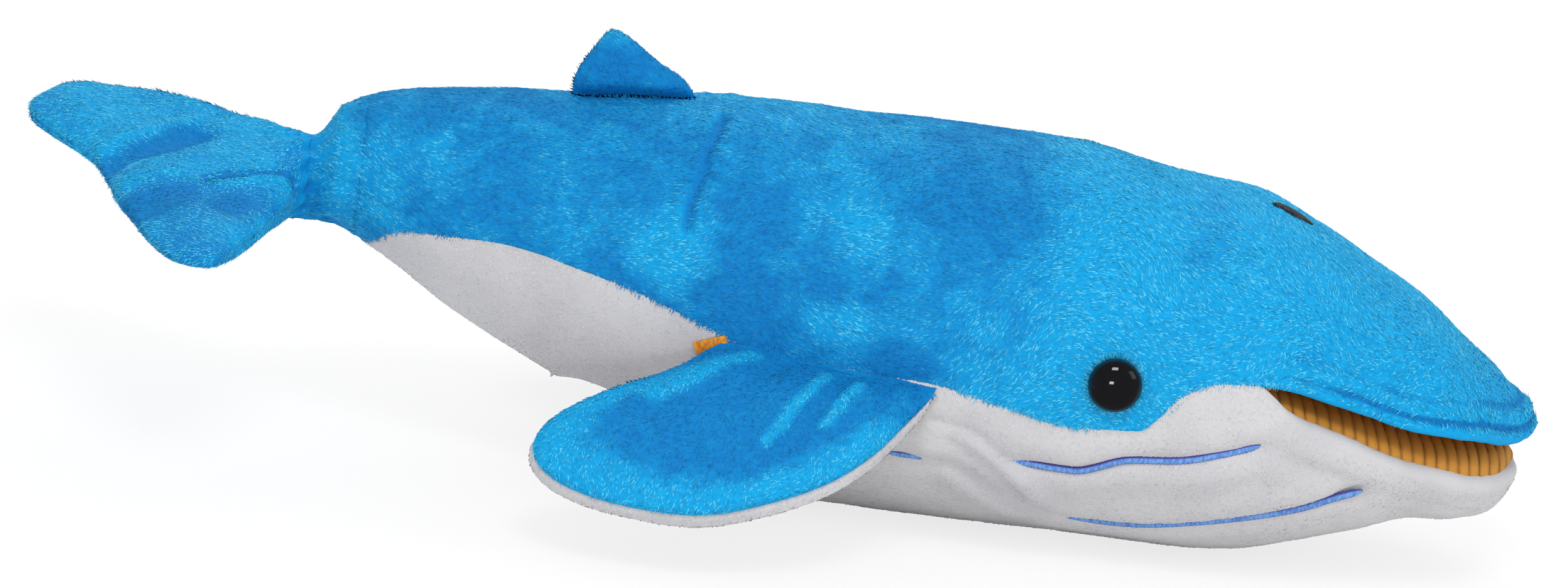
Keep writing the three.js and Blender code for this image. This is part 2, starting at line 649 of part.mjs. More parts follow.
// Dorsal fin, standing on the middle of the back
const finRear = new THREE.Vector3(FIN_ROOT[0], 0, bodyTop(FIN_ROOT[0]));
const finFront = new THREE.Vector3(FIN_ROOT[1], 0, bodyTop(FIN_ROOT[1]));
const finAlong = finFront.clone().sub(finRear).normalize();
const finUp = new THREE.Vector3(-finAlong.z, 0, finAlong.x);
const finSide = new THREE.Vector3().crossVectors(finAlong, finUp);
const finRoot = sewnRoot(finRear.distanceTo(finFront), (share) => {
  const line = finRear.clone().lerp(finFront, share);
  return bodyTop(line.x) - line.z;
});
const fin = padPieces({
  outline: [...finRoot, ...FIN_EDGE],
  centre: FIN_CENTRE,
  thickness: FIN_THICKNESS,
  taper: FIN_TAPER,
});
const finFrame = new THREE.Group();
finFrame.setRotationFromMatrix(new THREE.Matrix4().makeBasis(finAlong, finUp, finSide));
finFrame.position.copy(finRear).addScaledVector(finUp, GAP);
add('dorsal_fin_right_side', fin.upper, 'velour', finFrame);
add('dorsal_fin_left_side', fin.under, 'velour', finFrame);
add('dorsal_fin_stuffing', fin.fill, 'stuffing', finFrame);
puppet.add(finFrame);

// Tail flukes, built backward along X from the waist and then turned
const flukeHalf = curveThrough(FLUKES, 1);
const flukeRise = curveThrough(FLUKES, 2);

function flukeSolid(inset = 0) {
  const rings = FLUKES.map(([along], i) => {
    const end = i === 0 ? inset : (i === FLUKES.length - 1 ? -inset : 0);
    const place = -(along + end);
    const rise = Math.max(flukeRise(along) - inset, THINNEST_FILL);
    return sectionRing(place, rise, -rise, flukeHalf(along) - inset, FLUKE_SIDES);
  });
  return solidOf(loft(rings.reverse()));
}

const flukes = new THREE.Group();
flukes.position.set(WAIST[0], 0, WAIST[1]);
flukes.rotation.set(radians(FLUKES_ROLL), 0, radians(FLUKES_TURN), 'ZYX');
const flukeCover = flukeSolid().subtract(flukeSolid(FIN_SKIN));
add('flukes_top', flukeCover.intersect(box(-FAR, FAR, -FAR, FAR, GAP / 2, FAR)), 'velour', flukes);
add('flukes_under', flukeCover.intersect(box(-FAR, FAR, -FAR, FAR, -FAR, -GAP / 2)), 'velour', flukes);
add('flukes_stuffing', flukeSolid(FIN_SKIN + GAP), 'stuffing', flukes);
puppet.add(flukes);

// Gathered waist between the tail and the flukes
const trunkEnd = bodySection(TAIL_END);
const gatherFront = sectionRing(TAIL_END - GAP, trunkEnd.top, trunkEnd.bottom, trunkEnd.half, FLUKE_SIDES);
const [waistX, waistZ] = WAIST;
const gatherWaist = sectionRing(waistX, waistZ + WAIST_HALF, waistZ - WAIST_HALF, WAIST_HALF, FLUKE_SIDES);
const [rearPlace, rearSpan, rearRise] = FLUKES[0];
const gatherRear = sectionRing(GAP - rearPlace, rearRise, -rearRise, rearSpan, FLUKE_SIDES);
flukes.updateMatrix();
gatherRear.forEach((point) => point.applyMatrix4(flukes.matrix));
add('waist_gather', loft([gatherRear, gatherWaist, gatherFront]), 'velour');

export default puppet;
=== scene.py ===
# Whale hand puppet in plush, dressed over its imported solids.
# Shapes are worked out in millimetres, +X from the tail to the snout, +Y to the whale's left,
# and become metres when they go into a mesh.
import itertools
import math

import bmesh
import bpy
import numpy as np
from mathutils import Matrix, Vector


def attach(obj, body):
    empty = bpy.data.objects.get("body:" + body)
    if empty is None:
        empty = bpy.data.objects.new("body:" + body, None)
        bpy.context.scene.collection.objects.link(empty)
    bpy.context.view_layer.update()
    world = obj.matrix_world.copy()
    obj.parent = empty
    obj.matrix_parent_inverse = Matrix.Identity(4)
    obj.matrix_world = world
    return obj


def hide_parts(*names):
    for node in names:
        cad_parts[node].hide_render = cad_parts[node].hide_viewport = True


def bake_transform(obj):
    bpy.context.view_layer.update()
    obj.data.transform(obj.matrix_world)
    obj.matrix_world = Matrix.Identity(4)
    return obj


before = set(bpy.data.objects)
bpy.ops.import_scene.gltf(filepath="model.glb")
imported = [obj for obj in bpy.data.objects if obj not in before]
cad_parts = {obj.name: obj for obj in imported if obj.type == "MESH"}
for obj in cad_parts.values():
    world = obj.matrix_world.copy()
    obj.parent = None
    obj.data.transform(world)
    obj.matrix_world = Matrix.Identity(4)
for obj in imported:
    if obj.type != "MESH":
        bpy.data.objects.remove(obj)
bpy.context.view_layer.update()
print("frame loaded with", len(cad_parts), "solids")

body = {
    # place, height of the back, height of the belly, half the width
    "rows": [
        (-191, 76, 55, 9.5), (-184, 82.5, 54.5, 14.5), (-172, 88, 49, 19.5), (-152, 91, 36.5, 26),
        (-122, 93, 22, 34), (-92, 95.5, 8.5, 41), (-70, 96, 1, 45.5), (-58, 96, -0.5, 47.5),
        (-32, 96, -0.5, 50.5), (0, 94.5, -0.5, 53), (27, 89.5, -0.5, 53.5), (45, 87.5, 0.5, 52),
        (60, 81.5, 4, 49.5), (75, 73.7, 8.6, 46), (90, 65.8, 13.4, 41.5), (102, 57, 13.6, 36.5),
        (112, 52.4, 11.6, 32), (122, 48, 14, 27),
    ],
    "tip": 119.8,
    "jawTip": 119.0,
    "bluntFrom": 95.0,
    "tipHeight": 36.5,
    "bluntness": 2.3,
    "roundness": 2.15,
    "waist": (-191.0, 64.5),
    "cuffFrom": -178.0,
    "mouthCorner": (42.0, 54.0),
    "seam": [
        (-191, 50), (-180, 50), (-176, 51.5), (-172, 55), (-167, 58.5), (-144, 60.5), (-121, 57.5),
        (-105, 54), (-85, 47.5), (-75, 45.5), (-38, 44.5), (-17, 41), (-2, 38.5), (14, 39.5),
        (24, 50), (32, 53.5), (42, 54),
    ],
    "rim": [(42, 54), (50, 53), (58, 51.3), (67, 49), (80, 45.3), (99, 42.2), (116, 38), (124, 38)],
    "lip": [
        (42, 53.6), (49, 48.5), (63, 43.4), (78, 37.9), (84, 35.5), (97, 32.3), (106, 30.6),
        (124, 29.6),
    ],
}


# Curves, noise and normals
def curveThrough(rows, place, column=1):
    # cubic pieces from row to row; an inner slope is the weighted harmonic mean of the two
    # chords beside it, and nought at a turning point, so the curve never overshoots
    x = np.array([row[0] for row in rows], float)
    y = np.array([row[column] for row in rows], float)
    step = np.diff(x)
    rise = np.diff(y) / step
    before = 2 * step[1:] + step[:-1]
    after = step[1:] + 2 * step[:-1]
    same = rise[:-1] * rise[1:] > 0
    safe = np.where(same, rise[:-1], 1), np.where(same, rise[1:], 1)
    inner = np.where(same, (before + after) / (before / safe[0] + after / safe[1]), 0)
    slope = np.concatenate([rise[:1], inner, rise[-1:]])
    at = np.clip(place, x[0], x[-1])
    i = np.clip(np.searchsorted(x, at, side="right") - 1, 0, len(step) - 1)
    t = (at - x[i]) / step[i]
    u = 1 - t
    return (
        (1 + 2 * t) * u * u * y[i] + t * u * u * step[i] * slope[i]
        + t * t * (3 - 2 * t) * y[i + 1] - t * t * u * step[i] * slope[i + 1]
    )


def smoothStep(low, high, value):
    # rises from nought at low to one at high, level at both ends
    t = np.clip((value - low) / (high - low), 0, 1)
    return t * t * (3 - 2 * t)


def ridge(gap, height, width, middle=0.0):
    # a soft bump: height * exp(-((gap - middle) / width)^2), a dent where the height is below nought
    return height * np.exp(-(((gap - middle) / width) ** 2))


def roundTurn(count):
    # angles spread evenly over a full turn
    return np.linspace(0, 2 * math.pi, count, endpoint=False)


def walkedAlong(line):
    # how far one has walked along a line at each of its points
    return np.concatenate([[0], np.cumsum(np.linalg.norm(np.diff(line, axis=0), axis=1))])


def linePoints(line, walked, at):
    # the points, or other values in columns, that a line has at these walked distances
    return np.stack([np.interp(at, walked, line[:, k]) for k in range(line.shape[1])], axis=1)


def softNoise(points, size, seed=0):
    # random values on a lattice of this size, joined smoothly: from -1 to 1
    spot = np.asarray(points, float) / size
    cell = np.floor(spot).astype(np.int64)
    part = spot - cell
    part = part * part * (3 - 2 * part)
    total = np.zeros(spot.shape[:-1])
    for corner in itertools.product((0, 1), repeat=3):
        at = cell + np.array(corner)
        mixed = (at[..., 0] * 73856093) ^ (at[..., 1] * 19349663) ^ (at[..., 2] * 83492791)
        mixed = (mixed ^ (seed * 2654435761)) & 0x7FFFFFFF
        mixed = ((mixed ^ (mixed >> 13)) * 1274126177) & 0x7FFFFFFF
        value = ((mixed ^ (mixed >> 16)) & 0xFFFF) / 32767.5 - 1
        weight = np.prod(np.where(np.array(corner) == 1, part, 1 - part), axis=-1)
        total += weight * value
    return total


def unit(vectors):
    return vectors / np.maximum(np.linalg.norm(vectors, axis=-1, keepdims=True), 1e-12)


def gridNormals(points, flip=False):
    # the cross product of the steps along both ways of the grid; where a row shrinks to a
    # point its middle normal is the last good row's
    along = np.gradient(points, axis=0)
    across = np.gradient(points, axis=1)
    cross = np.cross(along, across)
    if flip:
        cross = -cross
    normals = unit(cross)
    good = np.linalg.norm(cross, axis=-1) > 1e-9
    for row, beside in ((0, 1), (-1, -2)):
        if not good[row].all():
            normals[row] = unit(normals[beside].mean(axis=0))
    return normals


def lineDistance(points, line):
    # shortest distance from each point to a chain of straight pieces
    line = np.asarray(line, float)
    nearest = np.full(points.shape[:-1], 1e9)
    for start, end in zip(line[:-1], line[1:]):
        way = end - start
        share = np.clip(((points - start) @ way) / (way @ way), 0, 1)
        gap = np.linalg.norm(points - start - share[..., None] * way, axis=-1)
        nearest = np.minimum(nearest, gap)
    return nearest


# Meshes
def gridFaces(rows, columns, closed=False, flip=False):
    # four-sided faces between neighbours of a grid, closed round its columns if wanted
    i = np.arange(rows - 1)[:, None]
    j = np.arange(columns if closed else columns - 1)[None, :]
    k = (j + 1) % columns
    faces = np.stack([i * columns + j, (i + 1) * columns + j, (i + 1) * columns + k,
                      i * columns + k], axis=-1).reshape(-1, 4)
    return faces[:, ::-1] if flip else faces


def mergeDoubles(mesh, distance):
    work = bmesh.new()
    work.from_mesh(mesh)
    bmesh.ops.remove_doubles(work, verts=work.verts, dist=distance * 0.001)
    work.to_mesh(mesh)
    work.free()


def makePiece(name, points, faces, material, values=None, merge=0.0):
    # a mesh from whole arrays; faces are rows of three or four corners
    mesh = bpy.data.meshes.new(name)
    points = np.asarray(points, float).reshape(-1, 3) * 0.001
    faces = np.asarray(faces, np.int32)
    sides = faces.shape[1]
    mesh.vertices.add(len(points))
    mesh.vertices.foreach_set("co", points.astype(np.float32).ravel())
    mesh.loops.add(faces.size)
    mesh.loops.foreach_set("vertex_index", faces.ravel())
    mesh.polygons.add(len(faces))
    mesh.polygons.foreach_set("loop_start", np.arange(0, faces.size, sides, dtype=np.int32))
    mesh.update(calc_edges=True)
    for label, value in (values or {}).items():
        attribute = mesh.attributes.new(label, "FLOAT", "POINT")
        attribute.data.foreach_set("value", np.asarray(value, np.float32).ravel())
    mesh.polygons.foreach_set("use_smooth", np.ones(len(faces), bool))
    if merge:
        mergeDoubles(mesh, merge)
    mesh.validate()
    mesh.materials.append(material)
    piece = bpy.data.objects.new(name, mesh)
    bpy.context.scene.collection.objects.link(piece)
    return piece


def thicken(piece, thickness):
    wall = piece.modifiers.new("wall", "SOLIDIFY")
    wall.thickness = thickness * 0.001
    wall.offset = -1
    wall.use_rim = True
    wall.use_even_offset = False


# The stuffed body's skin
def bodySection(place, inset=0.0, tip=None):
    # heights and half width along the body; from bluntFrom to the tip they close as an ellipse
    # does, and a rounder one in height
    tip = tip or body["tip"]
    past = np.clip((place - body["bluntFrom"]) / (tip - inset - body["bluntFrom"]), 0, 1)
    height = (1 - past ** body["bluntness"]) ** (1 / body["bluntness"])
    width = np.sqrt(1 - past**2)
    level = body["tipHeight"]
    top = level + (curveThrough(body["rows"], place, 1) - inset - level) * height
    bottom = level + (curveThrough(body["rows"], place, 2) + inset - level) * height
    return top, bottom, (curveThrough(body["rows"], place, 3) - inset) * width


def roundedPower(value, power):
    return np.sign(value) * np.abs(value) ** power


def bodyPoints(place, turn, inset=0.0, tip=None):
    # a rounded section across X: cosine and sine of the turn to the power 2 / roundness
    top, bottom, half = bodySection(place, inset, tip)
    power = 2 / body["roundness"]
    y = half * roundedPower(np.cos(turn), power)
    z = (top + bottom) / 2 + (top - bottom) / 2 * roundedPower(np.sin(turn), power)
    return np.stack([place + 0 * turn, y, z], axis=-1)


def turnAtHeight(place, height, tip=None):
    # the turn, on the left side, at which a section reaches this height
    top, bottom = bodySection(place, 0.0, tip)[:2]
    level = np.clip((height - (top + bottom) / 2) / np.maximum((top - bottom) / 2, 1e-9), -1, 1)
    return np.arcsin(roundedPower(level, body["roundness"] / 2))


def bodyReach(place, height, inset=0.0, tip=None):
    # half the body's width at a place and a height
    top, bottom, half = bodySection(place, inset, tip)
    level = np.clip(np.abs(height - (top + bottom) / 2) / ((top - bottom) / 2), 0, 1)
    return half * (1 - level ** body["roundness"]) ** (1 / body["roundness"])


def skinHeight(x, y, way):
    # height of the body's surface over a point of the ground plan, above (1) or below (-1)
    top, bottom, half = bodySection(x)
    share = np.clip(np.abs(y) / half, 0, 1) ** body["roundness"]
    return (top + bottom) / 2 + way * (top - bottom) / 2 * (1 - share) ** (1 / body["roundness"])


def rolledEdge(edge, normal, side, radius, sweep, steps):
    # cloth turned in along an edge: at angle a it lies at
    # edge + radius * (sin a * onward - (1 - cos a) * normal), onward being along the skin
    onward = np.cross(normal, np.gradient(edge, axis=0)) * side
    onMiddle = np.abs(edge[:, 1]) < 0.05
    onward[onMiddle, 1] = 0
    onward = unit(onward)
    angle = sweep[:, None, None] * np.linspace(0, 1, steps + 1)[1:][None, :, None]
    radius = radius[:, None, None]
    return (
        edge[:, None] + radius * np.sin(angle) * onward[:, None]
        - radius * (1 - np.cos(angle)) * normal[:, None]
    )


def softFloor(points, ease=1.0):
    # heights near the ground ease into it instead of going under
    z = points[..., 2]
    points[..., 2] = 0.5 * (z + np.sqrt(z * z + ease * ease))
    return points


def onBody(place, height, side):
    # points of one side of the body, from their places along it and their heights
    place, height = np.asarray(place, float), np.asarray(height, float)
    return np.stack([place, side * bodyReach(place, height), height], axis=-1)


# Pile: closed spikes of four faces, each standing on the skin and leaning along the nap
def scatter(points, count, random):
    # places spread evenly by area: a face of the grid is drawn by its area, then a place in it
    a, b, c, d = points[:-1, :-1], points[1:, :-1], points[1:, 1:], points[:-1, 1:]
    area = np.linalg.norm(np.cross(c - a, d - b), axis=-1) / 2
    share = np.cumsum(area.ravel())
    face = np.searchsorted(share, random.random(count) * share[-1])
    i, j = np.divmod(np.minimum(face, area.size - 1), area.shape[1])
    return i + random.random(count), j + random.random(count)


def between(values, u, v):
    # values of a grid at places between its points, weighted by nearness both ways
    i = np.minimum(u.astype(int), values.shape[0] - 2)
    j = np.minimum(v.astype(int), values.shape[1] - 2)
    s, t = (u - i)[:, None], (v - j)[:, None]
    return (
        values[i, j] * (1 - s) * (1 - t) + values[i + 1, j] * s * (1 - t)
        + values[i, j + 1] * (1 - s) * t + values[i + 1, j + 1] * s * t
    )


def napLean(roots, normals, way, pile, random):
    # the nap lies along one way of the cloth, turned in the cloth's own plane by soft patches
    # and a little at random
    flat = unit(way - (way * normals).sum(-1, keepdims=True) * normals)
    beside = np.cross(normals, flat)
    swirl = math.radians(pile["swirl"]) * softNoise(roots, pile["patch"], pile["seed"])
    swirl = swirl + math.radians(pile["stray"]) * random.standard_normal(len(roots))
    return flat * np.cos(swirl)[:, None] + beside * np.sin(swirl)[:, None]


def spikes(roots, normals, lean, pile, random):
    # each spike: two base corners sunk in the skin, a tip at
    # root + length * (cos rise * lean + sin rise * normal), and a low ridge above the line between
    count = len(roots)
    length = pile["length"] * (1 + 0.3 * random.standard_normal(count).clip(-2, 2))[:, None]
    rise = np.radians(pile["rise"] + pile["rise"] * 0.45 * random.standard_normal(count))[:, None]
    half = pile["width"] / 2 * (0.75 + 0.5 * random.random(count))[:, None]
    beside = np.cross(normals, lean)
    base = roots - 0.15 * normals
    tip = roots + length * (np.cos(rise) * lean + np.sin(rise) * normals)
    corners = np.stack([base + half * beside, base - half * beside,
                        base + 0.3 * (tip - base) + 0.6 * half * normals, tip], axis=1)
    first = 4 * np.arange(count)[:, None, None]
    faces = first + np.array([[1, 0, 3], [2, 1, 3], [0, 2, 3], [2, 0, 1]])[None]
    shade = np.repeat(random.random(count), 4)
    return corners.reshape(-1, 3), faces.reshape(-1, 3), shade


def pileOver(name, points, normals, way, pile, material, light, keep=None):
    random = np.random.default_rng(pile["seed"])
    u, v = scatter(points, pile["count"], random)
    roots = between(points, u, v)
    out = unit(between(normals, u, v))
    lit = between(light[..., None], u, v)[:, 0]
    if keep is not None:
        kept = keep(roots)
        roots, out, lit = roots[kept], out[kept], lit[kept]
    lean = napLean(roots, out, np.broadcast_to(np.asarray(way, float), roots.shape), pile, random)
    return makeTufts(name, roots, out, lean, pile, random, material, lit)


def makeTufts(name, roots, out, lean, pile, random, material, lit):
    # tufts take the light as the skin under them does, each turned a little its own way
    corners, faces, shade = spikes(roots, out, lean, pile, random)
    piece = makePiece(name, corners, faces, material,
                      values={"pileShade": shade, "napPaintedLight": np.repeat(lit, 4)})
    facing = unit(out + pile.get("sparkle", 0.2) * random.standard_normal(out.shape))
    piece.data.normals_split_custom_set_from_vertices(np.repeat(facing, 4, axis=0).tolist())
    return piece


def fringe(name, line, normals, across, pile, material, light, skip=None):
    # tufts along a sewn edge that lean over it, turned at random towards its length
    random = np.random.default_rng(pile["seed"])
    walked = walkedAlong(line)
    at = np.sort(random.random(int(pile["perMillimetre"] * walked[-1]))) * walked[-1]
    if skip is not None:
        at = at[~skip(np.interp(at, walked, line[:, 0]))]
    roots, out, over = (linePoints(values, walked, at) for values in (line, normals, across))
    along = np.cross(out, over)
    angle = math.radians(pile["stray"]) * random.standard_normal(len(at))
    lean = unit(over * np.cos(angle)[:, None] + along * np.sin(angle)[:, None])
    roots = roots - pile["spread"] * random.random(len(at))[:, None] * over
    lit = np.interp(at, walked, light)
    return makeTufts(name, roots, unit(out), lean, pile, random, material, lit)


# Materials
shaderSockets = {
    "colour": "Base Color", "roughness": "Roughness", "specular": "Specular IOR Level", "ior": "IOR",
    "sheen": "Sheen Weight", "sheenRoughness": "Sheen Roughness", "sheenTint": "Sheen Tint",
}


def newMaterial(name, finish):
    # a material with the plain values that its finish gives
    material = bpy.data.materials.new(name)
    material.use_nodes = True
    shader = material.node_tree.nodes["Principled BSDF"]
    for key in shaderSockets.keys() & finish.keys():
        shader.inputs[shaderSockets[key]].default_value = finish[key]
    return material, material.node_tree, shader


def addNode(tree, kind, **settings):
    node = tree.nodes.new(kind)
    for name, value in settings.items():
        setattr(node, name, value)
    return node


def connect(tree, source, target):
    tree.links.new(source, target)


def newGroup(name, inputs, outputs):
    group = bpy.data.node_groups.new(name, "ShaderNodeTree")
    for label, kind, value in inputs:
        socket = group.interface.new_socket(label, in_out="INPUT", socket_type=kind)
        if value is not None:
            socket.default_value = value
    for label, kind in outputs:
        group.interface.new_socket(label, in_out="OUTPUT", socket_type=kind)
    return group, addNode(group, "NodeGroupInput"), addNode(group, "NodeGroupOutput")


def mathNode(tree, operation, first, second=None, clamp=False):
    node = addNode(tree, "ShaderNodeMath", operation=operation, use_clamp=clamp)
    for socket, value in zip(node.inputs, (first, second)):
        if value is None:
            continue
        if isinstance(value, (int, float)):
            socket.default_value = value
        else:
            connect(tree, value, socket)
    return node.outputs[0]


def mixColours(tree, share, first, second, blend="MIX"):
    node = addNode(tree, "ShaderNodeMix", data_type="RGBA", blend_type=blend)
    for socket, value in ((node.inputs[0], share), (node.inputs[6], first), (node.inputs[7], second)):
        if isinstance(value, (int, float, tuple)):
            socket.default_value = value
        else:
            connect(tree, value, socket)
    return node.outputs[2]


def spread(tree, value, low, high, toLow=0.0, toHigh=1.0):
    node = addNode(tree, "ShaderNodeMapRange", interpolation_type="SMOOTHSTEP")
    connect(tree, value, node.inputs["Value"])
    for label, number in (("From Min", low), ("From Max", high), ("To Min", toLow), ("To Max", toHigh)):
        node.inputs[label].default_value = number
    return node.outputs["Result"]


def noiseAt(tree, vector, scale, detail=3.0, roughness=0.5, distortion=0.0):
    node = addNode(tree, "ShaderNodeTexNoise", noise_dimensions="3D")
    connect(tree, vector, node.inputs["Vector"])
    node.inputs["Scale"].default_value = scale
    node.inputs["Detail"].default_value = detail
    node.inputs["Roughness"].default_value = roughness
    node.inputs["Distortion"].default_value = distortion
    return node.outputs["Fac"]


def attributeOf(tree, name):
    return addNode(tree, "ShaderNodeAttribute", attribute_name=name).outputs["Fac"]


def placeOn(tree):
    return addNode(tree, "ShaderNodeTexCoord").outputs["Object"]


def weighted(tree, first, share, second, otherShare, clamp=False):
    # first * share + second * otherShare
    return mathNode(tree, "ADD", mathNode(tree, "MULTIPLY", first, share),
                    mathNode(tree, "MULTIPLY", second, otherShare), clamp)


def stretched(tree, vector, scale, turn=(0, 0, 0)):
    node = addNode(tree, "ShaderNodeMapping")
    connect(tree, vector, node.inputs["Vector"])
    node.inputs["Scale"].default_value = scale
    node.inputs["Rotation"].default_value = tuple(math.radians(a) for a in turn)
    return node.outputs["Vector"]


def linear(red, green, blue):
    # a colour as seen on screen, 0 to 255, as the linear values a shader takes
    shares = [c / 255 for c in (red, green, blue)]
    return tuple(c / 12.92 if c <= 0.04045 else ((c + 0.055) / 1.055) ** 2.4 for c in shares) + (1,)


def paint(tree, shader, colour, height=None, bump=None):
    # a colour that changes over the surface and, where there is a height, a bump of its strength
    # and distance
    connect(tree, colour, shader.inputs["Base Color"])
    if height is not None:
        node = addNode(tree, "ShaderNodeBump")
        node.inputs["Strength"].default_value, node.inputs["Distance"].default_value = bump
        connect(tree, height, node.inputs["Height"])
        connect(tree, node.outputs["Normal"], shader.inputs["Normal"])


napPattern = {
    # noise: scale, detail, roughness, distortion
    "patch": (34, 3, 0.55, 0.8),
    "fleck": (130, 2, 0.6, 0.5),
    "streak": (820, 3, 0.62, 0.6),
    "fine": (1900, 2, 0.6, 0.3),
    # how each kind of streak is drawn out, and its turn in degrees
    "streakWay": ((0.32, 1, 1), (0, 12, 0)),
    "fineWay": ((0.4, 1, 1), (0, -14, 0)),
    "patchShare": 0.26, "fleckShare": 0.3, "level": 0.22,
    "streakShare": 0.6, "fineShare": 0.4,
    "litShare": 0.74, "grainShare": 0.26,
    # where each mask starts and is full
    "lit": (0.36, 0.66), "grain": (0.34, 0.66),
    # painted highlights on pile ends, only where the nap is lit
    "tipHighlights": (0.58, 0.74), "tipHighlightsWhereLit": (0.46, 0.68, 0.08, 0.8),
}
plushPattern = {
    "cloud": (40, 3, 0.5, 0.4), "grain": (1500, 3, 0.6),
    "clouds": (0.3, 0.7),
    "cloudShare": 0.6, "grainShare": 0.4,
}


def buildNapGroup():
    # crushed nap: soft patches where the pile lies another way, crossed by fine streaks of pile ends,
    # drawn out along the nap; the Brightness input brings painted sheen and shade, and pile ends get painted
    # highlights where the nap is lit
    group, given, made = newGroup(
        "crushedNap",
        [("Vector", "NodeSocketVector", None), ("Deep", "NodeSocketColor", (0, 0, 0, 1)),
         ("Light", "NodeSocketColor", (1, 1, 1, 1)), ("Tip", "NodeSocketColor", (1, 1, 1, 1)),
         ("Brightness", "NodeSocketFloat", 0.5)],
        [("Color", "NodeSocketColor"), ("Height", "NodeSocketFloat"), ("Lit", "NodeSocketFloat")],
    )
    vector = given.outputs["Vector"]
    patch = noiseAt(group, vector, *napPattern["patch"])
    fleck = noiseAt(group, vector, *napPattern["fleck"])
    streak = noiseAt(group, stretched(group, vector, *napPattern["streakWay"]), *napPattern["streak"])
    fine = noiseAt(group, stretched(group, vector, *napPattern["fineWay"]), *napPattern["fine"])
    sway = weighted(group, patch, napPattern["patchShare"], fleck, napPattern["fleckShare"])
    sway = mathNode(group, "ADD", sway, napPattern["level"])
    level = mathNode(group, "ADD", sway, mathNode(group, "SUBTRACT", given.outputs["Brightness"], 0.5))
    lit = spread(group, level, *napPattern["lit"])
    pile = weighted(group, streak, napPattern["streakShare"], fine, napPattern["fineShare"])
    grain = spread(group, pile, *napPattern["grain"])
    share = weighted(group, lit, napPattern["litShare"], grain, napPattern["grainShare"], clamp=True)
    colour = mixColours(group, share, given.outputs["Deep"], given.outputs["Light"])
    # painted highlights: pile ends lighter where the nap is lit
    tipHighlights = mathNode(group, "MULTIPLY", spread(group, pile, *napPattern["tipHighlights"]),
                    spread(group, level, *napPattern["tipHighlightsWhereLit"]))
    colour = mixColours(group, tipHighlights, colour, given.outputs["Tip"])
    connect(group, colour, made.inputs["Color"])
    connect(group, pile, made.inputs["Height"])
    connect(group, lit, made.inputs["Lit"])
    return group


def buildPlushGroup():
    # short even plush: faint grey clouds and a fine grain of pile ends
    group, given, made = newGroup(
        "shortPlush",
        [("Vector", "NodeSocketVector", None), ("Deep", "NodeSocketColor", (0.5, 0.5, 0.5, 1)),
         ("Light", "NodeSocketColor", (1, 1, 1, 1))],
        [("Color", "NodeSocketColor"), ("Height", "NodeSocketFloat")],
    )
    vector = given.outputs["Vector"]
    cloud = noiseAt(group, vector, *plushPattern["cloud"])
    grain = noiseAt(group, vector, *plushPattern["grain"])
    share = weighted(group, spread(group, cloud, *plushPattern["clouds"]), plushPattern["cloudShare"],
                     grain, plushPattern["grainShare"], clamp=True)
    connect(group, mixColours(group, share, given.outputs["Deep"], given.outputs["Light"]),
            made.inputs["Color"])
    connect(group, grain, made.inputs["Height"])
    return group


napGroup = buildNapGroup()
plushGroup = buildPlushGroup()

velour = {
    "deep": linear(5, 110, 181),
    "light": linear(8, 157, 215),
    # tip: the colour of the painted highlights on pile ends
    "tip": linear(72, 196, 236),
    "end": linear(92, 206, 242),
    "roughness": 0.7,
    "specular": 0.12,
    "sheen": 0.2,
    "sheenRoughness": 0.4,
    "sheenTint": linear(70, 190, 245),
    "bump": (0.4, 0.0005),
    # how far the brightness of its own lifts a tuft, and how much the painted sheen of the nap under it
    # lifts it
    "ownLift": (0.3, 1.0, 0.05, 0.85),
    "litLift": (0.0, 0.9, 0.12, 1.0),
}
plush = {
    "deep": linear(181, 180, 184),
    "light": linear(200, 199, 201),
    "end": linear(210, 209, 211),
    "roughness": 0.95,
    "specular": 0.15,
    "sheen": 0.15,
    "sheenRoughness": 0.6,
    "bump": (0.35, 0.0004),
    "ownLift": (0.0, 1.0, 0.35, 1.0),
}


def furMaterial(name, group, finish, ofPile=False):
    # cloth with a nap, or the tufts on it, which have no bump but each a brightness of its own;
    # an attribute brings the velour's painted sheen and painted shade, and tufts are painted lighter where
    # the nap is lit
    material, tree, shader = newMaterial(name, finish)
    nap = addNode(tree, "ShaderNodeGroup", node_tree=group)
    connect(tree, placeOn(tree), nap.inputs["Vector"])
    for label in {"Deep", "Light", "Tip"} & set(nap.inputs.keys()):
        nap.inputs[label].default_value = finish[label.lower()]
    if "Brightness" in nap.inputs:
        connect(tree, attributeOf(tree, "napPaintedLight"), nap.inputs["Brightness"])
    if not ofPile:
        paint(tree, shader, nap.outputs["Color"], nap.outputs["Height"], finish["bump"])
        return material
    bright = spread(tree, attributeOf(tree, "pileShade"), *finish["ownLift"])
    # painted sheen: a tuft is lighter where the nap under it is lit
    if "Lit" in nap.outputs:
        bright = mathNode(tree, "MULTIPLY", bright, spread(tree, nap.outputs["Lit"], *finish["litLift"]))
    paint(tree, shader, mixColours(tree, bright, nap.outputs["Color"], finish["end"]))
    return material


velourBlue = furMaterial("velourBlue", napGroup, velour)
velourBluePile = furMaterial("velourBluePile", napGroup, velour, ofPile=True)
whitePlush = furMaterial("whitePlush", plushGroup, plush)
whitePlushPile = furMaterial("whitePlushPile", plushGroup, plush, ofPile=True)


corduroy = {
    # the valleys between the ribs are darker: painted shade, on top of the ribs' real relief
    "valley": linear(114, 65, 13),
    "rib": linear(196, 134, 46),
    "worn": linear(150, 94, 22),
    "roughness": 0.85,
    "sheen": 0.3,
    "sheenRoughness": 0.5,
    "sheenTint": linear(230, 180, 90),
    "ribShare": 0.7,
    "grainShare": 0.3,
    "grain": (1400, 3, 0.6),
    "cloud": (60, 2, 0.5),
    "ribs": (0.15, 0.85),
    "wornPatches": (0.5, 0.8, 0.0, 0.3),
    "bump": (0.4, 0.0004),
}


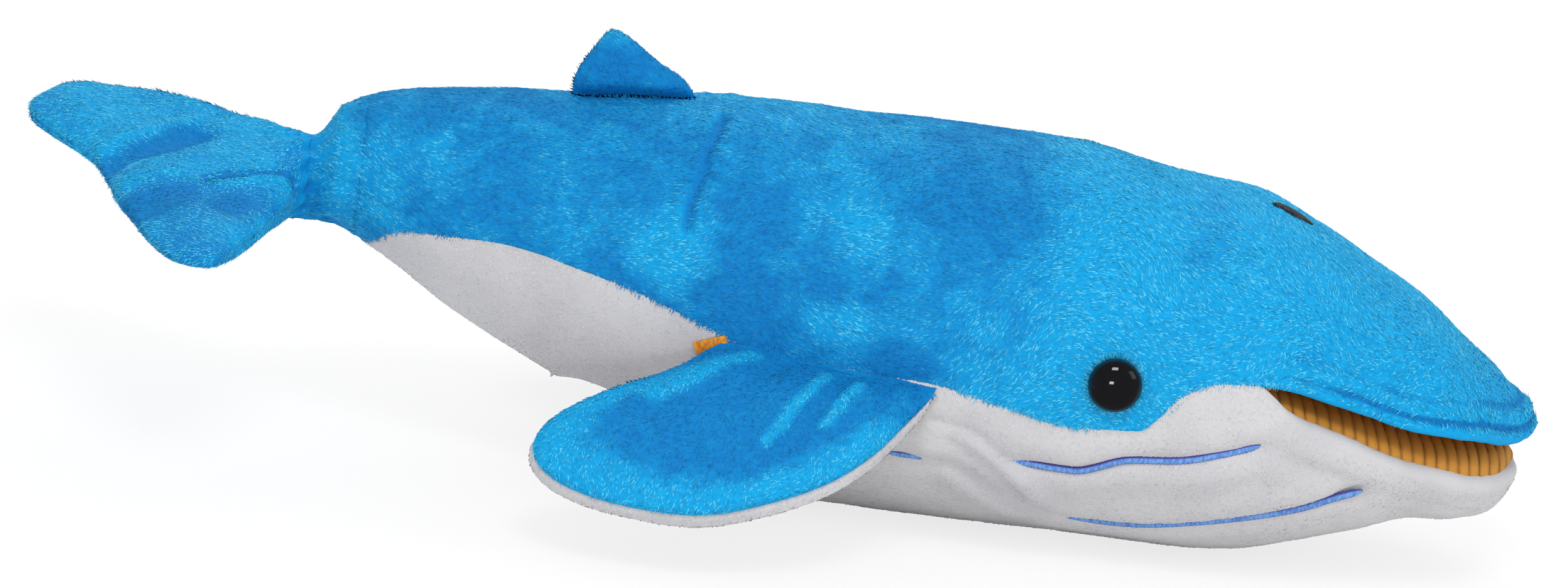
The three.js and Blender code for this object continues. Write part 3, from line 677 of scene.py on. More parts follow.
def corduroyMaterial():
    material, tree, shader = newMaterial("corduroyBrown", corduroy)
    place = placeOn(tree)
    grain = noiseAt(tree, place, *corduroy["grain"])
    cloud = noiseAt(tree, place, *corduroy["cloud"])
    share = weighted(tree, attributeOf(tree, "wale"), corduroy["ribShare"], grain, corduroy["grainShare"])
    # ribs lighter, the valleys between them painted darker as shade
    colour = mixColours(tree, spread(tree, share, *corduroy["ribs"]), corduroy["valley"], corduroy["rib"])
    colour = mixColours(tree, spread(tree, cloud, *corduroy["wornPatches"]), colour, corduroy["worn"])
    paint(tree, shader, colour, grain, corduroy["bump"])
    return material


thread = {
    "roughness": 0.7,
    "sheen": 0.15,
    "sheenRoughness": 0.4,
    "strand": (1400, 2, 0.6),
    "strandWay": (1, 1, 0.35),
    "strands": (0.35, 0.65),
    # the thread's sides, sunk in its channel, painted darker as shade
    "rim": (0.3, 0.85),
    "bump": (0.4, 0.0003),
}


def threadMaterial(name, dark, light, rim=None):
    # strands drawn out along the thread; where a rim colour is given, the sides sunk in the channel are
    # painted darker as shade
    material, tree, shader = newMaterial(name, thread)
    strand = noiseAt(tree, stretched(tree, placeOn(tree), thread["strandWay"]), *thread["strand"])
    colour = mixColours(tree, spread(tree, strand, *thread["strands"]), dark, light)
    if rim is not None:
        edge = spread(tree, attributeOf(tree, "threadEdge"), *thread["rim"])
        colour = mixColours(tree, edge, colour, rim)
    paint(tree, shader, colour, strand, thread["bump"])
    return material


lining = {
    "dark": linear(150, 154, 162),
    "light": linear(190, 193, 200),
    "roughness": 0.8,
    "sheen": 0.1,
    "sheenRoughness": 0.5,
    "weave": 480,
    "waver": 1.2,
    "bump": (0.4, 0.0003),
}


def liningMaterial():
    # a plain weave: bands along one way times bands along the other
    material, tree, shader = newMaterial("liningCloth", lining)
    place = placeOn(tree)
    waves = [addNode(tree, "ShaderNodeTexWave", wave_type="BANDS", bands_direction=way) for way in "XY"]
    for wave in waves:
        connect(tree, place, wave.inputs["Vector"])
        wave.inputs["Scale"].default_value = lining["weave"]
        wave.inputs["Distortion"].default_value = lining["waver"]
    cross = mathNode(tree, "MULTIPLY", *(wave.outputs["Fac"] for wave in waves))
    paint(tree, shader, mixColours(tree, cross, lining["dark"], lining["light"]), cross, lining["bump"])
    return material


plastics = {
    "eyeBlack": {"roughness": 0.06, "ior": 1.45, "dark": (0.002, 0.002, 0.003, 1),
                 "light": (0.006, 0.006, 0.008, 1), "cloud": (300, 2, 0.5)},
    "washerPlastic": {"roughness": 0.45, "dark": linear(214, 214, 208), "light": linear(238, 238, 232),
                      "cloud": (500, 2, 0.5)},
}


def plasticMaterial(name):
    plastic = plastics[name]
    material, tree, shader = newMaterial(name, plastic)
    cloud = noiseAt(tree, placeOn(tree), *plastic["cloud"])
    paint(tree, shader, mixColours(tree, cloud, plastic["dark"], plastic["light"]))
    return material


corduroyBrown = corduroyMaterial()
# the third colour is painted shade on the thread's sunk sides
grooveThread = threadMaterial("grooveThread", linear(78, 124, 198), linear(108, 160, 220),
                              linear(70, 58, 150))
blackThread = threadMaterial("blackThread", linear(24, 26, 32), linear(62, 64, 74))
ribbonOrange = threadMaterial("ribbonOrange", linear(196, 112, 10), linear(232, 156, 40))
liningCloth = liningMaterial()
eyeBlack = plasticMaterial("eyeBlack")
washerPlastic = plasticMaterial("washerPlastic")
print("materials made")

# Places along the body for the rows of its skins, close together where the snout turns round
skin = {
    "rowStep": 0.95,
    # how far the last row stops short of the end, so that it stays a ring
    "shortfall": 1e-4,
    # where the seam's roll turns into the mouth's: blue side, white side
    "rimStarts": (38, 50),
    "lipStarts": (40, 56),
    # how far a roll turns in, as shares of half a turn: at the seam, and more at the mouth
    "seamSweep": 0.5,
    "rimSweep": 0.45,
    "lipSweep": 0.42,
    "blueColumns": 134,
    "whiteColumns": 126,
    "noseRows": 34,
    "rimRadius": 1.3,
    "seamRadius": 0.8,
    "seamShare": 0.6,
    "lipRadius": 3.0,
    "rollSteps": 7,
    "wall": 1.5,
    "edgeShares": (0, 0.003, 0.006, 0.0095, 0.0135, 0.0185),
}


def crowded(columns):
    # shares across a skin, closer together at both edges
    edge = np.array(skin["edgeShares"])
    middle = np.linspace(edge[-1], 1 - edge[-1], columns - 2 * len(edge) + 2)
    return np.concatenate([edge[:-1], middle, 1 - edge[:-1][::-1]])


def noseEnd(height, tip, upper):
    # the place at which the section has shrunk to this height
    place = np.linspace(body["bluntFrom"], tip, 4001)
    top, bottom = bodySection(place, 0.0, tip)[:2]
    edge = top if upper else -bottom
    return float(np.interp(-(height if upper else -height), -edge, place))


def skinPlaces(start, end, tip, extra=()):
    # evenly spaced up to the blunt snout, then as the sine of an even angle
    even = np.arange(start, body["bluntFrom"], skin["rowStep"])
    last = math.asin((end - body["bluntFrom"]) / (tip - body["bluntFrom"]))
    angle = np.linspace(0, last, skin["noseRows"] + 1)
    nose = body["bluntFrom"] + (tip - body["bluntFrom"]) * np.sin(angle)
    nose[-1] = end
    return np.unique(np.concatenate([even, np.asarray(extra, float), nose]))


def edgeHeight(place, mouth):
    # the side seam as far as the mouth's corner, and then one edge of the mouth
    return np.where(
        place < body["mouthCorner"][0],
        curveThrough(body["seam"], place),
        curveThrough(body[mouth], place),
    )


# Folds and puckers of the skins: a line, its width and its depth, with the far side's mirror
folds = {
    "dart": [(-92.2, 11.9, 94.1), (-93.9, 18.9, 91.4), (-96.2, 25, 87.5), (-96.2, 27.7, 85.1),
             (-98.2, 32.2, 79.6), (-99.4, 36, 72)],
    "dartWidth": 1.3,
    "dartDepth": 0.9,
    # height, width and distance of the swell beside the dart
    "dartSwell": (0.5, 2.4, 3.2),
    # height, size and seed of the lumps, and of the nap's own unevenness
    "blueLumps": [(0.55, 34, 3), (0.3, 14, 4)],
    "blueFuzz": (0.16, 2.4, 5),
    "whiteLumps": [(0.5, 38, 13), (0.22, 13, 14)],
    "whiteFuzz": (0.07, 2.2, 15),
    "eye": (6.5, 50.4),
    "eyeDimple": 1.6,
    "eyeWidth": 10.0,
    # rolled rim of the upper jaw, as height, width and distance above its edge: a stitched line
    # and the fullness below it, and at the very front a bulge with a hollow above
    "rimStitch": (-0.75, 0.8, 3.4),
    "rimFull": (0.45, 1.3, 1.4),
    "rimBulge": (1.3, 4.0, 4.5),
    "rimHollow": (-0.9, 2.6, 10.5),
    # crease and fullness of the lower lip, as height, width and distance below its edge
    "lipCrease": (-0.9, 2.2, 10.5),
    "lipFull": (0.5, 4.0, 5.0),
    # folds of the white skin, as place and height, with height of the fold and its width
    "white": [
        ([(-37, 36.5), (-24, 32), (-14, 25), (-7, 18)], 1.5, 3.4),
        ([(-36, 27), (-22, 17), (-12, 12)], 1.1, 3.6),
        ([(-30, 31), (-20, 25), (-12, 18)], -1.0, 2.2),
        ([(41.6, 46), (52, 36.5), (70, 27), (86, 20)], -1.0, 3.2),
        ([(36, 49), (46, 42.5), (58, 36)], 0.8, 3.2),
    ],
    # soft ridges of the blue skin that run along above the mouth's rim
    "brow": [
        ([(44, 57.2), (56, 57.4), (70, 54.5)], 0.8, 1.5),
        ([(50, 60.5), (62, 60), (76, 56.5)], -0.7, 1.4),
        ([(72, 51), (84, 49), (98, 46.8)], 0.6, 1.4),
    ],
}


# How bright the velour is painted: darker on the trunk, lighter on the head, with patches of painted
# sheen and painted shade, and painted shade in its creases, the same on both sides
nap = {
    "rear": 0.45,
    "head": 0.66,
    "from": -26.0,
    "to": 8.0,
    "slant": 0.4,
    # painted shade along the dart's crease
    "dart": 0.3,
    "dartWidth": 1.1,
    # painted shade in the stitched dent and between the folds above the rim, painted highlights on its
    # fullness and folds: amount, width and height above the rim
    "rim": [(-0.4, 0.8, 3.4), (0.16, 1.0, 5.6), (-0.16, 0.9, 7.8), (0.1, 1.0, 1.2)],
    # patches of painted sheen, and of painted shade where the amount is below nought: place, height, reach
    # along, reach up, amount
    "patches": [
        (-103, 66, 8, 7, 0.32), (-97.5, 77, 6, 5, 0.1), (-56, 79, 9, 8, 0.17), (-52, 56, 16, 5, 0.15),
        (-184, 72, 5, 10, 0.36), (-172, 65, 5, 6, 0.14), (-160, 76, 8, 7, 0.1), (-82.5, 60, 8, 8, -0.14),
        (-45, 50, 8, 6, -0.17), (-30, 84, 18, 12, -0.06), (24, 80, 7, 8, -0.13), (31, 87, 6, 6, -0.08),
        (12, 84, 7, 6, 0.12), (1, 81, 7, 7, 0.1), (4, 69, 8, 8, 0.12), (57, 61, 6, 3.5, -0.15),
        (60, 78, 9, 5, 0.1), (54, 56, 14, 3, 0.16), (106, 46, 14, 8, -0.08), (-75, 97, 30, 4, 0.1),
    ],
}


def mirrored(points):
    # both sides of the body at once, as the left side
    flat = points.copy()
    flat[..., 1] = np.abs(flat[..., 1])
    return flat


def napPaintedLight(points):
    # a soft step from trunk to head, slanting back below; a soft bump for each patch, painted sheen where
    # lighter and painted shade where darker; painted shade in the stitched dent above the mouth's rim,
    # between the folds above it and along the dart, and painted highlights on the rim's fullness and folds
    x, z = points[..., 0], points[..., 2]
    light = nap["rear"] + (nap["head"] - nap["rear"]) * smoothStep(
        nap["from"], nap["to"], x + nap["slant"] * (90 - z))
    for place, height, along, up, amount in nap["patches"]:
        light = light + amount * np.exp(-(((x - place) / along) ** 2) - ((z - height) / up) ** 2)
    above = z - edgeHeight(x, "rim")
    for amount, width, height in nap["rim"]:
        light = light + ridge(above, amount * smoothStep(44, 58, x), width, height)
    dart = lineDistance(mirrored(points), folds["dart"])
    return light - ridge(dart, nap["dart"], nap["dartWidth"])


def lumpy(points, lumps):
    return sum(height * softNoise(points, size, seed) for height, size, seed in lumps)


def blueRelief(points):
    # lumps, a nap drawn out along the body, the dart with a swell beside it, ridges above the
    # mouth and a dimple round each eye
    side = mirrored(points)
    lumps = lumpy(points, folds["blueLumps"])
    fuzz = lumpy(points * np.array([0.4, 1, 1]), [folds["blueFuzz"]])
    dart = lineDistance(side, folds["dart"])
    crease = ridge(dart, -folds["dartDepth"], folds["dartWidth"]) + ridge(dart, *folds["dartSwell"])
    fromEye = np.hypot(side[..., 0] - folds["eye"][0], side[..., 2] - folds["eye"][1])
    fromEye = np.where(side[..., 1] > 30, fromEye, 99)
    dimple = ridge(fromEye, -folds["eyeDimple"], folds["eyeWidth"])
    for corners, height, width in folds["brow"]:
        gap = lineDistance(side, onBody(*np.transpose(corners), 1))
        crease = crease + ridge(gap, height, width)
    return lumps + fuzz + crease + dimple


def rimRelief(points):
    # the rolled rim of the upper jaw, full below its stitched line
    x, z = points[..., 0], points[..., 2]
    above = z - edgeHeight(x, "rim")
    roll = ridge(above, *folds["rimStitch"]) + ridge(above, *folds["rimFull"])
    bulge = ridge(above, *folds["rimBulge"]) + ridge(above, *folds["rimHollow"])
    return smoothStep(40, 54, x) * roll + smoothStep(108, 118, x) * bulge


def edgeRoll(places, mouthRadius, mouthStarts, mouthSweep):
    # a roll's radius, the share of it that its edge is lifted by, and how far it turns in
    ahead = smoothStep(*mouthStarts, places)
    radius = skin["seamRadius"] + (mouthRadius - skin["seamRadius"]) * ahead
    share = skin["seamShare"] + (1 - skin["seamShare"]) * ahead
    return radius, share, np.pi * (skin["seamSweep"] + mouthSweep * ahead)


def buildBack():
    # the blue skin from seam to seam over the back, with a roll along each of its edges
    end = noseEnd(body["rim"][-1][1] + skin["rimRadius"], body["tip"], True) - skin["shortfall"]
    places = skinPlaces(body["cuffFrom"], end, body["tip"])
    radius, share, sweep = edgeRoll(places, skin["rimRadius"], skin["rimStarts"], skin["rimSweep"])
    low = turnAtHeight(places, edgeHeight(places, "rim") + radius * share)
    low[-1] = math.pi / 2
    shares = crowded(skin["blueColumns"])
    turn = low[:, None] + (math.pi - 2 * low)[:, None] * shares[None, :]
    base = bodyPoints(places[:, None], turn)
    normals = gridNormals(base, flip=True)
    relief = blueRelief(base) + rimRelief(base)
    points = base + normals * relief[..., None]
    normals = gridNormals(points, flip=True)
    left = rolledEdge(points[:, 0], normals[:, 0], 1, radius, sweep, skin["rollSteps"])
    right = rolledEdge(points[:, -1], normals[:, -1], -1, radius, sweep, skin["rollSteps"])
    whole = np.concatenate([left[:, ::-1], points, right], axis=1)
    return whole, points, normals


backGrid, backSkin, backNormals = buildBack()
rows, columns = backGrid.shape[:2]
whaleBack = makePiece("whaleBack", backGrid, gridFaces(rows, columns, flip=True), velourBlue,
                      values={"napPaintedLight": napPaintedLight(backGrid)}, merge=0.01)
thicken(whaleBack, skin["wall"])
print("back skin:", rows, "rows by", columns)


# White belly, with the hand opening in its underside
handOpening = {
    "middle": -97.0,
    "reach": 27.5,
    "half": 27.0,
    "narrowing": 2.2,
    "squareness": 3.5,
    "hemWidth": 1.5,
    "hemThickness": 1.2,
    "hemDepth": 1.7,
    "pucker": 0.05,
    "puckerPitch": 5.2,
}
grooves = {
    "upper": [(-38, 36.6), (-25, 33.6), (-14, 27.1), (0, 26.5), (13, 31.4), (25, 33), (35, 35.9),
              (44, 39.0)],
    "lower": [(-46, 24), (-32, 24.2), (-14, 15.7), (3, 10.4), (18, 11.2), (32, 14.4), (47, 18.6),
              (58, 22.2), (65, 25.6), (72, 28.4)],
    "channelDepth": 1.3,
    "channelWidth": 1.5,
    # height, width and distance of the swell on either side of a channel
    "swell": (0.7, 3.4, 5.5),
    "radius": 1.0,
    "flatness": 0.62,
    "stitch": 0.95,
    "ridge": 0.09,
    "slant": 0.9,
    # how deep a full thread lies in its channel, and how much deeper a faint one
    "sink": 0.75,
    "faintSink": 0.9,
    "faint": 0.3,
    "endLength": 2.5,
    "sample": 0.24,
}


def smoothLine(corners, count):
    # an even walk along the smooth curve through the corners, by place
    corners = np.asarray(corners, float)
    place = np.linspace(corners[0, 0], corners[-1, 0], 1200)
    height = curveThrough(corners, place)
    walked = np.concatenate([[0], np.cumsum(np.hypot(np.diff(place), np.diff(height)))])
    at = np.linspace(0, walked[-1], count)
    return np.interp(at, walked, place), np.interp(at, walked, height), at


def openingHalf(place):
    # half width of the hand opening: a rounded rectangle, a little narrower at the rear
    share = np.clip(np.abs((place - handOpening["middle"]) / handOpening["reach"]), 0, 1)
    power = handOpening["squareness"]
    wide = handOpening["half"] + handOpening["narrowing"] * (
        (place - handOpening["middle"]) / handOpening["reach"])
    return wide * (1 - share**power) ** (1 / power)


def whiteRelief(points):
    # lumps and nap, a channel with a swell beside it for each groove, folds, and the lip's crease
    side = mirrored(points)
    x, z = points[..., 0], points[..., 2]
    total = lumpy(points, [*folds["whiteLumps"], folds["whiteFuzz"]])
    for name, strength in (("upper", 1.0), ("lower", 0.9)):
        place, height = smoothLine(grooves[name], 24)[:2]
        gap = lineDistance(side, onBody(place, height, 1))
        total = total - ridge(gap, strength * grooves["channelDepth"], grooves["channelWidth"])
        swell, width, distance = grooves["swell"]
        total = total + ridge(gap, strength * swell, width, distance)
    for corners, height, width in folds["white"]:
        total = total + ridge(lineDistance(side, onBody(*np.transpose(corners), 1)), height, width)
    under = edgeHeight(x, "lip") - z
    lip = ridge(under, *folds["lipCrease"]) + ridge(under, *folds["lipFull"])
    return total + smoothStep(48, 66, x) * lip * (1 - smoothStep(98, 112, x))


def buildBelly():
    # the white skin in two halves, each from its seam down to the hand opening or to the middle;
    # it starts where the seams meet under the tail, and rows crowd at both ends of the opening
    tip = body["jawTip"]
    fine = np.linspace(-177, -165, 2401)
    bottom = bodySection(fine)[1]
    start = float(fine[np.argmax(edgeHeight(fine, "lip") - skin["seamRadius"] > bottom)])
    end = noseEnd(body["lip"][-1][1] - skin["lipRadius"], tip, False) - skin["shortfall"]
    rear = handOpening["middle"] - handOpening["reach"]
    front = handOpening["middle"] + handOpening["reach"]
    ease = np.array([0, 0.05, 0.2, 0.45, 0.8, 1.25, 1.8, 2.5, 3.3])
    extra = np.concatenate([rear + ease, front - ease, start + 1.6 * ease])
    places = skinPlaces(start, end, tip, extra)
    radius, share, sweep = edgeRoll(places, skin["lipRadius"], skin["lipStarts"], skin["lipSweep"])
    high = turnAtHeight(places, edgeHeight(places, "lip") - radius * share, tip)
    high[0] = -math.pi / 2
    high[-1] = -math.pi / 2
    half = bodySection(places, 0.0, tip)[2]
    gap = np.clip(openingHalf(places) / np.maximum(half, 1e-6), 0, 1)
    opened = np.arcsin(gap ** (body["roundness"] / 2))
    shares = crowded(skin["whiteColumns"])
    shares = 2 * shares[: len(shares) // 2 + 1]
    shares = shares / shares[-1]
    span = math.pi / 2 + high - opened
    leftTurn = high[:, None] - span[:, None] * shares[None, :]
    rightTurn = -math.pi - leftTurn[:, ::-1]
    halves = []
    for turn in (leftTurn, rightTurn):
        base = bodyPoints(places[:, None], turn, tip=tip)
        normals = gridNormals(base)
        points = softFloor(base + normals * whiteRelief(base)[..., None])
        halves.append((points, gridNormals(points)))
    (leftPoints, leftNormals), (rightPoints, rightNormals) = halves
    steps = skin["rollSteps"] + 2
    left = rolledEdge(leftPoints[:, 0], leftNormals[:, 0], -1, radius, sweep, steps)
    right = rolledEdge(rightPoints[:, -1], rightNormals[:, -1], 1, radius, sweep, steps)
    leftHalf = np.concatenate([left[:, ::-1], leftPoints], axis=1)
    rightHalf = np.concatenate([rightPoints, right], axis=1)
    rightHalf[:, 0] = np.where((opened < 1e-6)[:, None], leftHalf[:, -1], rightHalf[:, 0])
    edges = np.concatenate([leftPoints[opened > 0, -1], rightPoints[opened > 0, 0][::-1]])
    return leftHalf, rightHalf, halves, edges


leftHalf, rightHalf, bellyHalves, openingEdge = buildBelly()
rows, columns = leftHalf.shape[:2]
bellyFaces = gridFaces(rows, columns)
whaleBelly = makePiece(
    "whaleBelly",
    np.concatenate([leftHalf.reshape(-1, 3), rightHalf.reshape(-1, 3)]),
    np.concatenate([bellyFaces, bellyFaces + rows * columns]),
    whitePlush,
    merge=0.01,
)
thicken(whaleBelly, skin["wall"])
print("belly skin:", rows, "rows by", 2 * columns)


# A rounded tube carried along a path: at each place a ring of
# across * cos(angle) * sideways + deep * sin(angle) * up, both sizes free to vary
def tubeAlong(path, up, across, deep, sides=16, roundness=2.0, closed=False):
    if closed:
        along = unit(np.roll(path, -1, axis=0) - np.roll(path, 1, axis=0))
    else:
        along = unit(np.gradient(path, axis=0))
    sideways = unit(np.cross(along, up))
    up = np.cross(sideways, along)
    angle = roundTurn(sides)
    across = np.broadcast_to(across, (len(path), sides)) if np.ndim(across) < 2 else across
    deep = np.broadcast_to(deep, (len(path), sides)) if np.ndim(deep) < 2 else deep
    power = 2 / roundness
    ring = (
        (across * roundedPower(np.cos(angle), power))[..., None] * sideways[:, None]
        + (deep * roundedPower(np.sin(angle), power))[..., None] * up[:, None]
    )
    grid = path[:, None] + ring
    return np.concatenate([grid, grid[:1]]) if closed else grid


def column(values):
    return np.asarray(values, float)[:, None]


def closedFaces(grid, flip=False):
    return gridFaces(*grid.shape[:2], closed=True, flip=flip)


def domed(places, start, reach):
    # falls from one at the start to nought at the reach, as a quarter circle does
    return np.sqrt(np.clip(1 - np.clip((places - start) / reach, 0, 1) ** 2, 0, 1))


def capped(grid):
    # a tube closed by a point in the middle of each end ring
    ends = [grid[k : k + 1].mean(axis=1, keepdims=True) + 0 * grid[:1] for k in (0, len(grid) - 1)]
    return np.concatenate([ends[0], grid, ends[1]])


# Hem round the hand opening
def buildHem():
    # a tube along the skin's cut edge, evenly walked and smoothed, sunk into the body and puckered
    loop = np.concatenate([openingEdge, openingEdge[:1]])
    walked = walkedAlong(loop)
    at = np.linspace(0, walked[-1], 260, endpoint=False)
    path = linePoints(loop, walked, at)
    smooth = sum(np.roll(path, k, axis=0) for k in range(-3, 4)) / 7
    top, bottom, half = bodySection(smooth[:, 0])
    out = unit(np.stack([0 * top, smooth[:, 1] / half**2, (smooth[:, 2] - (top + bottom) / 2)
                         / ((top - bottom) / 2) ** 2], axis=1))
    pucker = 1 + handOpening["pucker"] * np.sin(at * 2 * math.pi / handOpening["puckerPitch"])
    smooth = smooth - handOpening["hemDepth"] * out
    grid = tubeAlong(smooth, out, column(handOpening["hemWidth"] * pucker),
                     column(handOpening["hemThickness"] * pucker), 18, 2.4, closed=True)
    grid[..., 2] = np.maximum(grid[..., 2], 0.05)
    return grid


hemGrid = buildHem()
handHem = makePiece("handOpeningHem", hemGrid, closedFaces(hemGrid), liningCloth, merge=0.005)
print("hem made")

# Sleeve for the hand and pockets for the fingers and the thumb
hand = {
    "room": [(-124, 44, 10, 20), (-112, 57, 2, 26), (-92, 67, -5, 30), (-76, 73, -6, 33),
             (-62, 76, 14, 36), (-30, 77, 18, 39), (0, 76, 19, 40), (25, 73, 19, 40),
             (46, 71, 19, 39)],
    "fingers": [(36, 34), (60, 31), (78, 27), (93, 19)],
    "thumb": [(36, 35), (60, 32), (78, 27.5), (98, 17)],
    # height, size and seed of the wrinkles in the sleeve and in the pockets
    "wrinkle": (0.7, 7, 31),
    "pocketWrinkle": (0.4, 6, 33),
    "wall": 0.8,
    # clear of the skin's underside, and how far inside it the sleeve starts
    "clearance": 2.2,
    "inside": 1.5,
    # how far in from its end a pocket rounds off
    "pocketEnd": 8.0,
    # from the body's surface, and from the mouth's edge, to a pocket
    "underSkin": 6.6,
    "overRim": 5.6,
    "underLip": 4.1,
}


def buildSleeve():
    # rounded sections like the body's, open below round the hand opening, rising from its rear edge
    rear = handOpening["middle"] - handOpening["reach"]
    places = np.concatenate([rear + np.array([0, 0.4, 1.2, 2.5]), np.arange(rear + 4, 45, 1.6)])
    top, bottom, half = (curveThrough(hand["room"], places, k) for k in (1, 2, 3))
    close = np.clip((places - rear) / 6, 0, 1) ** 0.5
    hole = openingHalf(places)
    edge = bodySection(places)[1] + hand["inside"]
    top = edge + (top - edge) * close
    bottom = np.where(hole > 0, np.maximum(bottom, edge - 3), bottom)
    half = np.maximum(half * (0.6 + 0.4 * close), hole * 0.98)
    gap = np.arcsin(np.clip(hole / half, 0, 0.96) ** (body["roundness"] / 2))
    shares = np.linspace(0, 1, 73)
    turn = -math.pi / 2 + gap[:, None] + (2 * math.pi - 2 * gap)[:, None] * shares
    power = 2 / body["roundness"]
    y = half[:, None] * roundedPower(np.cos(turn), power)
    z = (top + bottom)[:, None] / 2 + (top - bottom)[:, None] / 2 * roundedPower(np.sin(turn), power)
    z = np.maximum(z, skinHeight(places[:, None], y, -1) + hand["clearance"])
    grid = np.stack([places[:, None] + 0 * y, y, z], axis=-1)
    wave = lumpy(grid * np.array([0.5, 1, 1]), [hand["wrinkle"]])
    return grid - gridNormals(grid) * np.abs(wave)[..., None]


sleeveGrid = buildSleeve()
handSleeve = makePiece("handSleeve", sleeveGrid, gridFaces(*sleeveGrid.shape[:2]), liningCloth,
                       merge=0.01)
thicken(handSleeve, hand["wall"])


def buildPocket(rows, upper):
    # an oval tube between the body's surface and the mouth's edge, rounded off at its end
    last, reach = rows[-1][0], hand["pocketEnd"]
    places = np.concatenate([np.arange(rows[0][0], last - reach, 1.5),
                             last - reach * np.cos(np.linspace(0, math.pi / 2, 10))])
    close = domed(places, last - reach, reach)
    half = curveThrough(rows, places) * close
    ahead = np.maximum(places, body["mouthCorner"][0])
    if upper:
        top = bodySection(places)[0] - hand["underSkin"]
        bottom = curveThrough(body["rim"], ahead) + hand["overRim"]
    else:
        top = curveThrough(body["lip"], ahead) - hand["underLip"]
        bottom = bodySection(places)[1] + hand["underSkin"]
    middle, rise = (top + bottom) / 2, (top - bottom) / 2 * close
    turn = roundTurn(48)
    grid = np.stack([
        places[:, None] + 0 * turn, half[:, None] * np.cos(turn),
        middle[:, None] + rise[:, None] * np.sin(turn)], axis=-1)
    grid[..., 1:] += lumpy(grid, [hand["pocketWrinkle"]])[..., None] * close[:, None, None]
    return grid


pockets = []
for name, rowsOf, upper in (("fingerPocket", "fingers", True), ("thumbPocket", "thumb", False)):
    grid = buildPocket(hand[rowsOf], upper)
    pocket = makePiece(name, grid, closedFaces(grid), liningCloth, merge=0.01)
    thicken(pocket, hand["wall"])
    pockets.append(pocket)
print("sleeve and pockets made")

# Corduroy inside of the mouth
palate = {
    "wale": 3.2,
    "waleHeight": 0.55,
    "wander": 0.7,
    "upperArch": 1.6,
    "upperLift": 0.4,
    "dome": 0.6,
    "step": 0.4,
    "wall": 1.2,
    # in from the body's side, and back from where the skin meets the mouth's edge
    "upperInset": 1.7,
    "lowerInset": 2.5,
    "upperShort": 2.2,
    "lowerShort": 1.6,
    "upperAhead": 1.0,
    "lowerAhead": 1.4,
    "start": 43.5,
    "frontRound": 8.0,
    "edgeDrop": 1.2,
    # size and seed of the ribs' wander; height, size and seed of the lumps
    "wanderNoise": (11, 42),
    "lumps": (0.25, 9, 41),
}


def waleWave(place):
    # rounded ribs with narrow valleys: the root of a sine's size
    return np.sqrt(np.abs(np.sin(math.pi * place / palate["wale"])))


def buildPalate(upper):
    # a ribbed sheet along one edge of the mouth, domed across and rounded off at its front
    tip, line, jaw = (body["tip"], body["rim"], "upper") if upper else (body["jawTip"], body["lip"], "lower")
    reach = palate["frontRound"]
    last = noseEnd(line[-1][1], tip, upper) - palate[jaw + "Short"]
    even = np.arange(palate["start"], last - reach, palate["step"])
    places = np.concatenate([even, last - reach + reach * np.sin(np.linspace(0, math.pi / 2, 26))])
    lineZ = curveThrough(line, places)
    ahead = np.minimum(places + palate[jaw + "Ahead"], tip - 0.05)
    half = bodyReach(ahead, lineZ, 0.0, tip) - palate[jaw + "Inset"]
    close = domed(places, last - reach, reach)
    half = np.maximum(half, 0.2) * (0.35 + 0.65 * close)
    v = np.sin(np.linspace(-1, 1, 81) * math.pi / 2)
    y = half[:, None] * v[None, :]
    bulge = np.sqrt(np.clip(1 - np.abs(v) ** 5, 0, 1))[None, :] * close[:, None]
    flat = np.stack([places[:, None] + 0 * y, y, 0 * y], axis=-1)
    wale = waleWave(flat[..., 0] + palate["wander"] * softNoise(flat, *palate["wanderNoise"]))
    ribs = palate["waleHeight"] * wale * (0.4 + 0.6 * bulge)
    if upper:
        z = lineZ[:, None] + palate["upperLift"] + palate["upperArch"] * bulge - ribs
    else:
        room = curveThrough(body["rim"], places) - lineZ
        lift = palate["dome"] * np.maximum(room - 1.0, 0.6)[:, None]
        z = lineZ[:, None] - palate["edgeDrop"] + (lift + palate["edgeDrop"]) * bulge + ribs
    grid = np.stack([places[:, None] + 0 * y, y, z], axis=-1)
    grid[..., 2] += lumpy(grid, [palate["lumps"]])
    return grid, wale


palates = []
for name, upper in (("upperPalate", True), ("lowerPalate", False)):
    grid, wale = buildPalate(upper)
    piece = makePiece(name, grid, gridFaces(*grid.shape[:2], flip=upper), corduroyBrown,
                      values={"wale": wale})
    thicken(piece, palate["wall"])
    palates.append(piece)

# Fold of the mouth's lining across its back, on the line about which both jaws turn
mouthFold = {"x": 42.8, "z": 53.7, "radius": 2.2, "inset": 1.1, "ribs": 4, "ribHeight": 0.14,
             "endLength": 3.0}


def reachAt(spot):
    return float(bodyReach(np.array(spot["x"]), np.array(spot["z"])))


def buildMouthFold():
    # a ribbed roll across the body, as wide as the body is there, rounded off at both ends
    reach = reachAt(mouthFold) - mouthFold["inset"]
    y = reach * np.sin(np.linspace(-1, 1, 121) * math.pi / 2)
    path = np.stack([mouthFold["x"] + 0 * y, y, mouthFold["z"] + 0 * y], axis=-1)
    angle = roundTurn(32)
    wale = np.sqrt(np.abs(np.sin(mouthFold["ribs"] * angle)))
    ends = domed(np.abs(y), reach - mouthFold["endLength"], mouthFold["endLength"] + 0.01)
    size = mouthFold["radius"] * column(ends) * (1 + mouthFold["ribHeight"] * wale)
    grid = capped(tubeAlong(path, np.array([0.0, 0.0, 1.0]) + 0 * path, size, size, 32))
    return grid, np.broadcast_to(wale, grid.shape[:2])


foldGrid, foldWale = buildMouthFold()
mouthLining = makePiece("mouthFold", foldGrid, closedFaces(foldGrid), corduroyBrown,
                        values={"wale": foldWale}, merge=0.001)
print("palates made")

# Eyes: a black dome on a shank, turned about an axis across the body
eye = {"x": 6.5, "z": 50.4, "radius": 6.5, "height": 4.6, "rim": 0.8, "shank": 2.0, "shankLength": 9.0,
       "sink": 0.7}


